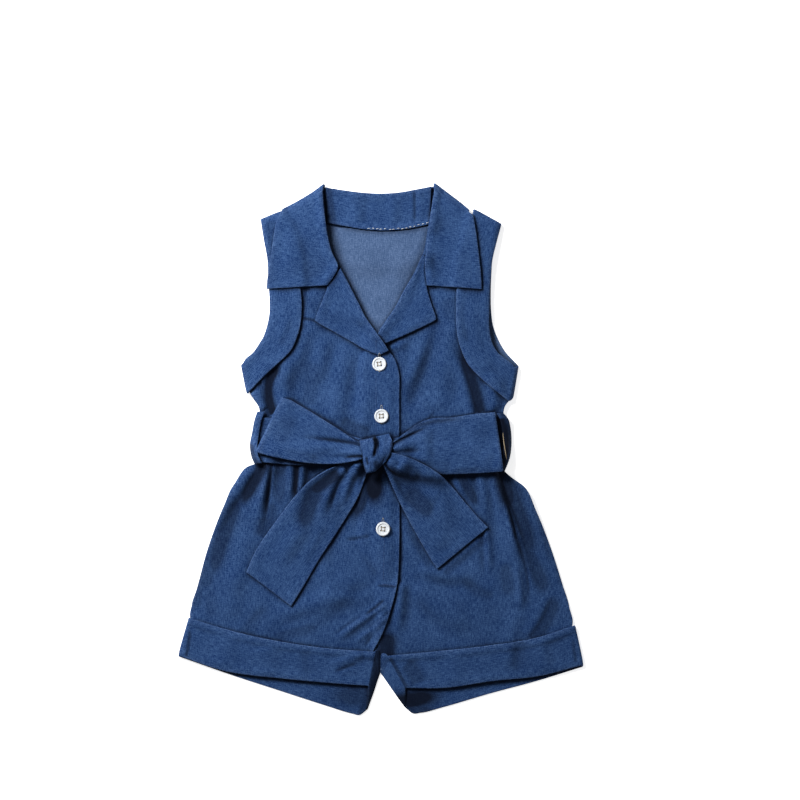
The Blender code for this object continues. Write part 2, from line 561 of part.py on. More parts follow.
def hole_cutter():
    """Four upright eight-sided pins, one mesh, used to cut the thread holes."""
    sides, points, faces = 8, [], []
    for sx, sy in ((1, 1), (-1, 1), (-1, -1), (1, -1)):
        first = len(points)
        for z in (-1.0, BUTTON_THICK + 1.0):
            for k in range(sides):
                angle = 2 * math.pi * (k + 0.5) / sides
                points.append((
                    sx * HOLE_SPREAD + HOLE_WIDE / 2 * math.cos(angle),
                    sy * HOLE_SPREAD + HOLE_WIDE / 2 * math.sin(angle), z,
                ))
        faces.append(tuple(first + k for k in reversed(range(sides))))
        faces.append(tuple(first + sides + k for k in range(sides)))
        for k in range(sides):
            after = (k + 1) % sides
            faces.append((first + k, first + after, first + sides + after, first + sides + k))
    mesh = bpy.data.meshes.new("button_holes")
    mesh.from_pydata([tuple(MM * c for c in point) for point in points], [], faces)
    cutter = bpy.data.objects.new("button_holes", mesh)
    bpy.context.scene.collection.objects.link(cutter)
    cutter.hide_render = True
    cutter.display_type = "WIRE"
    return cutter


def drilled(mesh, cutter):
    """The mesh with the cutter's pins taken out, applied once and shared by every button."""
    blank = bpy.data.objects.new("button_blank", mesh)
    bpy.context.scene.collection.objects.link(blank)
    cut = blank.modifiers.new("holes", "BOOLEAN")
    cut.object = cutter
    cut.operation = "DIFFERENCE"
    graph = bpy.context.evaluated_depsgraph_get()
    made = bpy.data.meshes.new_from_object(blank.evaluated_get(graph))
    bpy.data.objects.remove(blank)
    made.name = "button"
    made.set_sharp_from_angle(angle=math.radians(SHARP))
    return made


def add_buttons(stack):
    cutter = hole_cutter()
    mesh = drilled(button_mesh(), cutter)
    bpy.data.objects.remove(cutter)
    mesh.materials.clear()
    mesh.materials.append(material("button_pearl", PEARL, 0.25))
    made = []
    for row in BUTTONS:
        spot = np.array([[[row.x, row.y]]])
        button = bpy.data.objects.new(row.name, mesh)
        bpy.context.scene.collection.objects.link(button)
        height = stack.under(spot, SEAM_GAP, BUTTON_WIDE / 2)[0, 0]
        button.location = (row.x * MM, row.y * MM, height * MM)
        button.rotation_euler.z = math.radians(row.turn)
        made.append(button)
    return made


def clear_scene():
    for item in list(bpy.data.objects):
        bpy.data.objects.remove(item)


def centre(parts):
    """Moves the whole romper so that its box stands centred on the origin."""
    bpy.context.view_layer.update()
    corners = np.array([
        part.matrix_world @ vertex.co for part in parts for vertex in part.data.vertices
    ])
    middle = (corners.min(axis=0) + corners.max(axis=0)) / 2
    holder = bpy.data.objects.new("romper", None)
    bpy.context.scene.collection.objects.link(holder)
    holder.location = (-middle[0], -middle[1], -corners[:, 2].min())
    for part in parts:
        part.parent = holder


def main():
    clear_scene()
    stack = Stack()
    for rows in (ARM_RIGHT, ARM_LEFT_BACK, COLLAR_BACK):
        lay_strip(rows, 4, 2, CUFF_WALL, stack)
    lay_strip(BELT_BACK, 3, 3, BELT_WALL, stack)
    parts = [
        add_panel("bodice_back", BODICE_BACK, stack, BACK_PITCH, colour=DENIM_INSIDE),
        add_panel("shorts_back_right", SHORTS_BACK_RIGHT, stack, BACK_PITCH, colour=DENIM_INSIDE),
        add_panel("shorts_back_left", SHORTS_BACK_LEFT, stack, BACK_PITCH, colour=DENIM_INSIDE),
    ]
    for rows in (LEG_RIGHT_BACK, LEG_LEFT_BACK):
        lay_strip(rows, 4, 2, CUFF_WALL, stack)
    parts += [
        add_strip("collar_stand", COLLAR_STAND, stack, CUFF_WALL, 4, 2),
        add_panel("bodice_front_left", BODICE_FRONT_LEFT, stack, BODICE_PITCH, PUFF,
                  FOLDS_BODICE_LEFT),
        add_panel("shorts_front_left", SHORTS_FRONT_LEFT, stack, SHORTS_PITCH, PUFF, PLEATS_LEFT),
        add_panel("bodice_front_right", BODICE_FRONT_RIGHT, stack, BODICE_PITCH, PUFF_OVER,
                  FOLDS_BODICE_RIGHT),
        add_panel("shorts_front_right", SHORTS_FRONT_RIGHT, stack, SHORTS_PITCH, PUFF_OVER,
                  PLEATS_RIGHT),
        add_ring("armhole_cuff_right", ARM_RIGHT, ARM_RIGHT, stack, CUFF_WALL, 4, 2),
        add_ring("armhole_cuff_left", ARM_LEFT_FRONT, ARM_LEFT_BACK, stack, CUFF_WALL, 4, 2),
        add_ring("leg_cuff_right", LEG_RIGHT_FRONT, LEG_RIGHT_BACK, stack, CUFF_WALL, 4, 3, LEG_PUFF),
        add_ring("leg_cuff_left", LEG_LEFT_FRONT, LEG_LEFT_BACK, stack, CUFF_WALL, 4, 3, LEG_PUFF),
        add_strip("lapel_left", LAPEL_LEFT, stack, LAPEL_WALL, 4, 1),
        add_strip("lapel_right", LAPEL_RIGHT, stack, LAPEL_WALL, 5, 1),
        add_collar(stack),
        add_ring("belt", BELT_FRONT, BELT_BACK, stack, BELT_WALL, 4, 3),
        add_strip("belt_loop_right", BELT_LOOP_RIGHT, stack, CUFF_WALL, 2, 2),
        add_strip("belt_loop_left", BELT_LOOP_LEFT, stack, CUFF_WALL, 2, 2),
        add_strip("bow_tail_right", BOW_TAIL_RIGHT, stack, BELT_WALL, 6, 1),
        add_loop("bow_loop_right", BOW_LOOP_RIGHT, stack, BELT_WALL, 7, 1),
        add_loop("bow_loop_left", BOW_LOOP_LEFT, stack, BELT_WALL, 7, 1),
        add_strip("bow_tail_left", BOW_TAIL_LEFT, stack, BELT_WALL, 6, 1),
        add_knot(stack),
    ]
    parts += add_buttons(stack)
    centre(parts)


main()
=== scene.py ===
"""Dresses a toddler's sleeveless denim romper, buttoned up and laid flat on its back.

Plans are in millimetres on the table it lies on: +X to the wearer's left, +Y to the collar, +Z up.
Each cloth piece is a thin shell: a plan worked out from its edges, a height that lets it lie on
what is beneath it, folds placed one by one, and a rim that is rounded like a pressed edge.
"""

import math
from collections import namedtuple

import bpy
import numpy as np
from bpy.props import FloatProperty, FloatVectorProperty, PointerProperty
from bpy.types import Operator, Panel, PropertyGroup
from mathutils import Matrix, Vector


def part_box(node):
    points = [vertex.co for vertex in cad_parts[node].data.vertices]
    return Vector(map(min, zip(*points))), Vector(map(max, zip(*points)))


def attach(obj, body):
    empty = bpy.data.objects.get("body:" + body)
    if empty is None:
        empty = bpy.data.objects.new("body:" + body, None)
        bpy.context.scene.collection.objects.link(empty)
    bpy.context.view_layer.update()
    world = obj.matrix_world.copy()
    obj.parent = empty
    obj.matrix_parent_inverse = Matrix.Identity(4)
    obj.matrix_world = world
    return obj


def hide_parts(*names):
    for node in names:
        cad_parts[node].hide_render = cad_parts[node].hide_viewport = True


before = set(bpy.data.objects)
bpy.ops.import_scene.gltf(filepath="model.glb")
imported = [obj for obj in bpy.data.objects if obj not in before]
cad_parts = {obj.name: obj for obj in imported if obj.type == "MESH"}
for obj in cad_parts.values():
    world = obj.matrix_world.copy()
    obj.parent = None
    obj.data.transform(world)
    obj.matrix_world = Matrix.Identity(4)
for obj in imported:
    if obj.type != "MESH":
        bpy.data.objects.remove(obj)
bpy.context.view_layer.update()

bl_info = {
    "name": "Denim romper",
    "version": (1, 0, 0),
    "blender": (4, 5, 0),
    "location": "View3D > Sidebar > Romper",
    "description": "Cloth, buttons, sewing and stage of a toddler's romper laid flat",
    "category": "Object",
}

MM = 0.001

# The raster that pieces are laid on, millimetres.
HALF_X, HALF_Y, CELL = 190.0, 245.0, 1.0
FINER = 4  # how much finer than its mesh a sheet is sampled into the raster

# Shapes, millimetres.
LUMEN = 1.2  # space left inside a flattened ring or loop
TURN = 1.6  # how far a half turn stands out beyond the ends of its two layers
TURN_STEPS = 9  # steps between the two layers
SHOULDER_TURN = 2.4  # TURN where the collar goes over a shoulder
DRAWN_IN = 2.2  # how much less the middle of the right shoulder's turn stands out
LAPPING_PUFF = 0.45  # share of the puff that the fronts on top have
LAPEL_THINNER = 0.2  # than the cuffs
COLLAR_WIDE = 48.0
COLLAR_ROLLS = (1.5, 0.8)  # how high the right and the left leaf stand along the roll line
COLLAR_ROLL_WIDE = 5.5
GORGE_DEPTH, GORGE_WIDE = 2.4, 3.2  # how far the collar goes down where it is sewn to the lapel
GORGE_END, GORGE_FADE = 0.26, 0.10  # shares of the leaf
KNOT_ACROSS, KNOT_DOWN = 26.0, 27.0
KNOT_RISE, KNOT_DROP = 3.4, 4.0  # its crown over the highest cloth beneath, its foot below that
KNOT_RIM, KNOT_EDGE, KNOT_PITCH = 1.2, 2.4, 0.7  # thickness and width of its rim, mesh pitch
HOLE_SPREAD = 1.45  # half the distance between a button's holes
DISH_TOP = 1.7  # height of a button's dish over its underside
BUTTON_THREAD_THICK, BUTTON_THREAD_ARCH = 0.6, 0.75
BUTTONHOLE_LONG, BUTTONHOLE_ABOVE = 15.5, 1.2  # its length, and its middle above the button's
STITCH_SIDES, THREAD_SIDES = 6, 8
WAVES, WAVE_SHORT, WAVE_LONG = 9, 22, 75  # how many, and their lengths
CALM = 16  # how far from its seams a panel reaches its full unevenness
PUCKER_LONG, PUCKER_BEAT, PUCKER_SWAY, PUCKER_REACH = 7.5, 31, 1.8, 5.0  # ripples along seams
RIM_WEAR = 1.1  # how far from a rim its wear fades
# Where a seam allowance ends inside a double piece, from its rim, and how softly.
STRIP_SEAM, CUFF_SEAM, COLLAR_SEAM = (4.0, 2.2), (4.2, 2.4), (4.6, 2.4)
NO_RIM = 1e3  # distance from a rim where there is none
UV_UNIT = 0.01  # what a millimetre of cloth is in its UV map
# Metres: the least width of a cut that can be stated, and as much of the belt as the knot shows.
LEAST_CUT = 0.0101
KNOT_CUT = (0.030, 0.042)

# Shares of half a wall at which extra grid lines round a rim.
RIM_LINES = (0.0, 0.06, 0.24, 0.55, 1.0)

# Painted shade and highlight by depth below the blurred raster. The painted contact shadows lie
# away from the key light.
TO_LIGHT = np.array([-1.1, 1.1])
NEAR_BLUR, WIDE_BLUR, NEAR_SHARE = 1.6, 4.5, 0.8
UPWARD = 2.5  # the least slope that counts as facing up is 1 over this
SPARED, DARKEST, PALER_INSIDE = 0.04, 0.84, 0.40  # painted shade: shares of the light that hollows take
HEIGHT_HIGHLIGHT, MOST_HIGHLIGHT = 0.22, 0.8  # painted highlight: how much paler cloth is for each millimetre that it stands up, and at most

# Cross-section of a fold: its bell's painted shade, and a trough's shoulders against its bell.
DARK_GAIN, DARK_POWER = 1.7, 1.1
SHOULDER_WIDE, SHOULDER_HIGH = 2.1, 0.5
BEND_STEPS = 33  # points on the line of a fold

# The camera: its sensor, millimetres; what its view spans on the table and its middle, metres.
SENSOR = 36.0
FIELD = 0.68
VIEW_CENTRE = (0.0157, 0.0417)
CAMERA_LIFT = 0.004  # the cloth's height, whose scale the field has
FLOOR_HALF, FLOOR_LOW = 4.0, -0.0002

# Shares that rim wear and painted highlight pale cloth, and that painted shade in folds and
# hollows darkens it, at most; and its roughness.
MOST_PALED, MOST_DARKENED = 0.42, 0.97
ROUGH_WARP, ROUGH_FALL = 0.92, -0.10  # in the dark threads, and from there to the pale ones

Edges = namedtuple("Edges", "start end left right")
# A fold runs through three points. lift: its height, below nothing for a trough; wide: half its
# width; into, out: shares of its length over which it fades; dark: how much of the light is lost
# in it, painted as shade into its colour; skew: above nothing, wider on the left of its direction.
Fold = namedtuple("Fold", "x0 y0 x1 y1 x2 y2 lift wide into out dark skew", defaults=(0.0, 0.0))
Stitching = namedtuple("Stitching", "x0 y0 x1 y1 x2 y2 stitch space thick")

# Panels: four edges each. start is the waist; end is the shoulder, neck or hem.
BODICE_BACK = Edges(
    start=[(-103.5, -2.3), (103.5, -2.3)],
    end=[(-99.4, 190.9), (-84, 196.8), (-60, 207.6), (-47, 191.7), (-25, 187.7),
         (-1.6, 185.2), (29, 187.6), (42, 190.8), (54, 207), (73, 196.8), (96.4, 190)],
    left=[(-103.5, -2.3), (-103.5, 27), (-104.1, 35.7), (-108.4, 42.4), (-112.4, 49),
          (-115.2, 73), (-108.8, 82), (-98.5, 97), (-94, 114), (-94.6, 134),
          (-95.8, 160), (-99.4, 190.9)],
    right=[(103.5, -2.3), (103.5, 28), (104.9, 36.2), (109, 42), (110.8, 69.5),
           (104.5, 75), (98, 81.3), (93.2, 90), (90, 118), (90.6, 148),
           (94.3, 175.5), (96.4, 190)],
)
BODICE_FRONT_LEFT = Edges(
    start=[(-15.3, -2.3), (103.5, -2.3)],
    end=[(44.2, 216), (60, 205.8), (74, 197.2), (96.4, 190)],
    left=[(-15.3, -2.3), (-15.3, 54), (-13, 74), (-1.8, 101), (12.1, 121.6),
          (18.9, 134.6), (28.5, 151), (35, 165), (39.5, 188), (44.2, 216)],
    right=BODICE_BACK.right,
)
BODICE_FRONT_RIGHT = Edges(
    start=[(15.2, -2.3), (-103.5, -2.3)],
    end=[(-49.6, 216.6), (-84, 197), (-99.4, 190.9)],
    left=[(15.2, -2.3), (15.3, 43.8), (14.8, 66), (12.1, 75.3), (5, 85.6), (-1, 95.1),
          (-12.6, 111), (-21.6, 128.4), (-33.6, 152), (-40.5, 165), (-45.5, 182),
          (-49.6, 216.6)],
    right=BODICE_BACK.left,
)
SHORTS_FRONT_LEFT = Edges(
    start=[(-15.3, -2.7), (103.5, -2.7)],
    end=[(-4.4, -177.6), (52, -174.5), (92, -169.6), (130, -163.5), (160.4, -153)],
    left=[(-15.3, -2.7), (-14.9, -53), (-12.5, -84), (2, -106), (5.6, -119),
          (3, -137), (-2.4, -156), (-4.4, -177.6)],
    right=[(103.5, -2.7), (103.6, -16.8), (111.4, -24.6), (121.2, -31.6), (131.7, -52.7),
           (143.9, -83.3), (153.8, -114), (160.3, -136), (162.8, -147), (161.8, -153)],
)
SHORTS_FRONT_RIGHT = Edges(
    start=[(15.2, -2.7), (-103.5, -2.7)],
    end=[(-8.6, -175), (-39, -172.6), (-84.6, -166.6), (-128, -156.4), (-160.3, -147)],
    left=[(15.2, -2.7), (15.6, -53.5), (15.3, -84), (13.2, -116.5), (8.2, -136),
          (1.6, -155), (-8.6, -175)],
    right=[(-103.5, -2.7), (-104.6, -10), (-115.4, -15.8), (-124.2, -28.4), (-135.2, -51),
           (-147.9, -85), (-157, -118.1), (-161.7, -134), (-163, -141),
           (-162, -147)],
)
SHORTS_BACK_LEFT = Edges(
    start=[(0.2, -2.7), (103.5, -2.7)],
    end=[(-0.8, -188), (10, -189), (42, -188.4), (83, -176.9), (126, -164.9),
         (160.6, -150)],
    left=[(0.2, -2.7), (0.2, -90), (-0.8, -188)],
    right=[(103.5, -2.7), (103.5, -20.5)] + SHORTS_FRONT_LEFT.right[3:-2] + [(160.6, -150)],
)
SHORTS_BACK_RIGHT = Edges(
    start=[(-0.2, -2.7), (-103.5, -2.7)],
    end=[(-1.2, -190), (-12, -190), (-42, -184.7), (-82, -172.6), (-124.5, -158.9),
         (-160.8, -143)],
    left=[(-0.2, -2.7), (-0.2, -90), (-1.2, -190)],
    right=[(-103.5, -2.7), (-103.5, -17.5)] + SHORTS_FRONT_RIGHT.right[3:-2] + [(-160.8, -143)],
)

# Strips: a row is x and y of a point of the strip's first edge, then x and y of one of its second.
ARM_RIGHT = [  # outer fold to inner free edge, shoulder to underarm
    (-102.2, 193.2, -84.2, 200.8), (-99.8, 178, -76, 180), (-96.7, 160, -69.8, 160),
    (-96.2, 144, -68.8, 140), (-94.8, 124, -67.4, 122), (-95.3, 113, -68, 110),
    (-99.3, 97.6, -70.8, 97), (-104.3, 88.8, -76.6, 84), (-108.8, 82.3, -85.6, 74.6),
    (-114.4, 77.6, -97, 64.4), (-117.6, 72.9, -112.8, 48),
]
ARM_LEFT_FRONT = [
    (101.4, 189.4, 78, 202.6), (97.6, 175.5, 72.5, 179.5), (94.1, 160, 66.5, 160),
    (92.8, 147.9, 65, 146), (91.8, 132, 63.4, 130), (91.6, 118.1, 63.2, 114), (91.5, 104, 64, 99),
    (94, 90.5, 67.5, 85), (99, 82, 73.5, 72.2), (106.4, 76.2, 84.5, 60.2),
    (113.2, 70.2, 107.6, 41),
]
ARM_LEFT_BACK = [
    (101.6, 189, 78, 202.6), (97.4, 173.4, 72.5, 179.5), (94.4, 160, 66.5, 160),
    (93.6, 147.9, 65, 146), (93.1, 132, 63.4, 130), (93.5, 117, 63.2, 114), (95.2, 104.5, 64, 99),
    (99.5, 93, 67.5, 85), (105, 83.4, 73.5, 72.2), (110.2, 77.6, 84.5, 60.2),
    (115.4, 72.2, 111.2, 44.4),
]
LEG_RIGHT_FRONT = [  # upper edge to hem, side to inner leg
    (-161.4, -143.9, -170.8, -176.2), (-130, -153.4, -135.8, -187.8),
    (-84.6, -163.4, -86.3, -194.6), (-38.9, -169.6, -39.5, -199), (-5.8, -171.8, -11.4, -201.2),
]
LEG_RIGHT_BACK = [
    (-161.8, -143.9, -171.4, -177), (-124.5, -159.8, -130.5, -191.4), (-82, -172.5, -86.3, -205.8),
    (-42.1, -183.6, -48, -218.2), (-20, -188.6, -25, -225.2), (-8.6, -190.6, -17.8, -226.2),
    (-2, -191.6, -13.4, -222.8),
]
LEG_LEFT_FRONT = [
    (162.2, -150.3, 169.8, -183.8), (130.5, -160.3, 134.7, -192.6), (92.2, -166.4, 93.9, -197),
    (49.7, -171.2, 54, -202.8), (5.4, -175.4, 20.6, -203),
]
LEG_LEFT_BACK = [
    (162.8, -150.6, 170.4, -185.6), (126.2, -165.8, 133, -197.2), (83.7, -177.8, 92.2, -208.2),
    (42.9, -188.7, 54, -219.4), (17.4, -189.6, 33.4, -224.6), (4.8, -190, 25.8, -224.6),
    (-0.8, -190.6, 21.4, -221),
]
BELT_FRONT = [  # upper to lower edge, right side to left side
    (-104.4, 27.2, -104.8, -10.4), (-69.3, 24.6, -69.3, -13.4), (-31, 13, -31, -11.4),
    (-3, 6.8, -3, -12.4), (24.2, 13, 24.2, -15), (62.5, 23.8, 62.5, -16.6),
    (104.4, 27.8, 104.4, -13.2),
]
BELT_BACK = [
    (-104.4, 27.2, -104.8, -10.4), (0, 25, 0, -14), (104.4, 27.8, 104.4, -13.2),
]
BELT_LOOP_RIGHT = [  # outer to inner edge, top to bottom
    (-105, 32, -98.6, 32), (-107.2, 26, -101.2, 25.4), (-109.7, 14, -103.4, 14),
    (-111.7, 3, -104.8, 2.4), (-110.2, -6, -103.8, -5.6), (-107.4, -12.2, -101.2, -11.4),
]
BELT_LOOP_LEFT = [
    (103.6, 30.6, 97.8, 30.6), (107.4, 26, 100.6, 25.4), (109.6, 18, 102.4, 17.4),
    (110.5, 8, 103.2, 7.4), (109.3, -5, 102.4, -4.4), (104.6, -18.4, 98.6, -16.4),
]
COLLAR_LEAF_RIGHT = [  # roll line to outer edge, notch to shoulder
    (-45.8, 139, -97.2, 135.8), (-40, 147, -96.8, 143.5), (-36.6, 154.6, -95.6, 151.8),
    (-41.5, 166.5, -94, 163.5), (-45.2, 180.5, -92, 176.5), (-47.4, 195, -90.3, 188),
    (-48.9, 208.4, -87.9, 196.8), (-49.6, 219.6, -85.3, 201), (-49.4, 222.8, -84.5, 202.2),
]
COLLAR_BACK = [  # roll line to outer edge, right shoulder to left shoulder
    (-48.2, 222.8, -83, 201.4), (-35.3, 220.6, -59.1, 178.3), (-18.3, 218.5, -31, 167.4),
    (0, 217.6, 0, 164), (18.3, 218.5, 31, 167.4), (33.6, 221.2, 57.4, 178.3),
    (44.4, 223.6, 73.4, 201.6),
]
COLLAR_LEAF_LEFT = [
    (38.4, 139, 85, 135.6), (37.4, 147, 84.8, 143.5), (36.8, 156, 84.2, 152.5),
    (37.6, 167, 82.9, 164), (39.2, 180.5, 81.4, 176.5), (41.2, 195, 79.4, 190),
    (43.2, 208.4, 77.4, 199), (44.9, 220.2, 74.8, 201), (45.2, 223.4, 74.3, 201.8),
]
COLLAR_STAND = [  # roll line to neck seam
    (-47.5, 222.6, -46.4, 192.4), (-33.6, 220.4, -32.7, 189.8), (-16.6, 218.2, -16.6, 187),
    (0, 217.4, 0, 185.8), (15.7, 218.4, 15.7, 186.4), (29.3, 220.8, 29.3, 188.4),
    (42.6, 223.4, 41.4, 191.4),
]
LAPEL_RIGHT = [  # roll line to free edge, gorge to break point
    (-34.6, 153.6, -45.4, 138.6), (-28.6, 142.4, -50.4, 125.6), (-22.6, 130.6, -55.8, 111.6),
    (-21.4, 128.2, -56.3, 109.2), (-20.2, 126, -54.5, 107.8), (-14.4, 114, -41.6, 100.4),
    (-6.4, 102.4, -24.4, 90.6), (1, 92, -11.5, 83.4), (6.4, 83.6, -2, 79.8),
]
LAPEL_LEFT = [
    (35, 165.4, 37, 163.6), (28.6, 151.2, 37.2, 146), (25.6, 145.4, 38.6, 137.6),
    (19.6, 135.6, 42.4, 123.8), (13.6, 124, 46.2, 112.8), (12.3, 121.6, 46.6, 110.4),
    (11, 119.4, 44.8, 109), (6, 112, 30, 101.6), (1, 104, 14.2, 94.4), (-4, 96.6, 3.2, 89.8),
]
BOW_LOOP_RIGHT = [  # upper to lower edge, knot to outer fold
    (-13, 3.6, -13, -7), (-21.4, 7.6, -20, -9), (-39.3, 19, -37, -12), (-57.2, 30.2, -58, -11.8),
    (-70.5, 38, -79.6, -8.6), (-78.6, 42.4, -98.2, -4.4), (-82.6, 43.4, -104.6, -2.4),
]
BOW_LOOP_LEFT = [
    (5, 3, 4, -11), (19.7, 13.6, 20, -16.6), (30.4, 21.6, 33, -19.8), (43, 26.2, 47, -21),
    (59, 27, 64, -20.8), (80.5, 30.2, 86, -19.8), (94.4, 31.3, 101.4, -18.6),
]
BOW_TAIL_RIGHT = [  # outer to inner edge, knot to end
    (-18, -5.6, -8, -9), (-30, -10.8, -11.5, -18), (-44, -16.4, -14.6, -27),
    (-58, -24.6, -19, -39), (-73.3, -39.7, -28.6, -56), (-85.8, -55.8, -41, -75.6),
    (-98, -72.6, -54, -95.6), (-107.5, -87.6, -65.4, -115.2), (-114.8, -104.5, -76.6, -133.4),
]
BOW_TAIL_LEFT = [
    (5, -1.4, 0.6, -9.6), (18, -4.8, 4.8, -20), (33, -11, 10.6, -34.4), (48, -20, 18.4, -51),
    (60, -31.6, 27.4, -68), (72, -46, 35.8, -82.8), (82, -57.4, 42.4, -94),
    (90.6, -66.4, 47.4, -101.6),
]
BOW_KNOT = [  # right to left edge, top to bottom
    (-18.8, 7.6, 6.4, 13.4), (-17.6, 3, 9.4, 6.4), (-15.9, -2.6, 8.4, -1.6),
    (-15.4, -8.8, 4.8, -8.6), (-14.6, -14.6, 0.6, -13.4), (-12.6, -20.6, -5, -18.6),
]
BUTTON_SPOTS = {"button_top": (-1.8, 72.4), "button_middle": (0.0, 28.2),
                "button_bottom": (1.4, -67.5)}
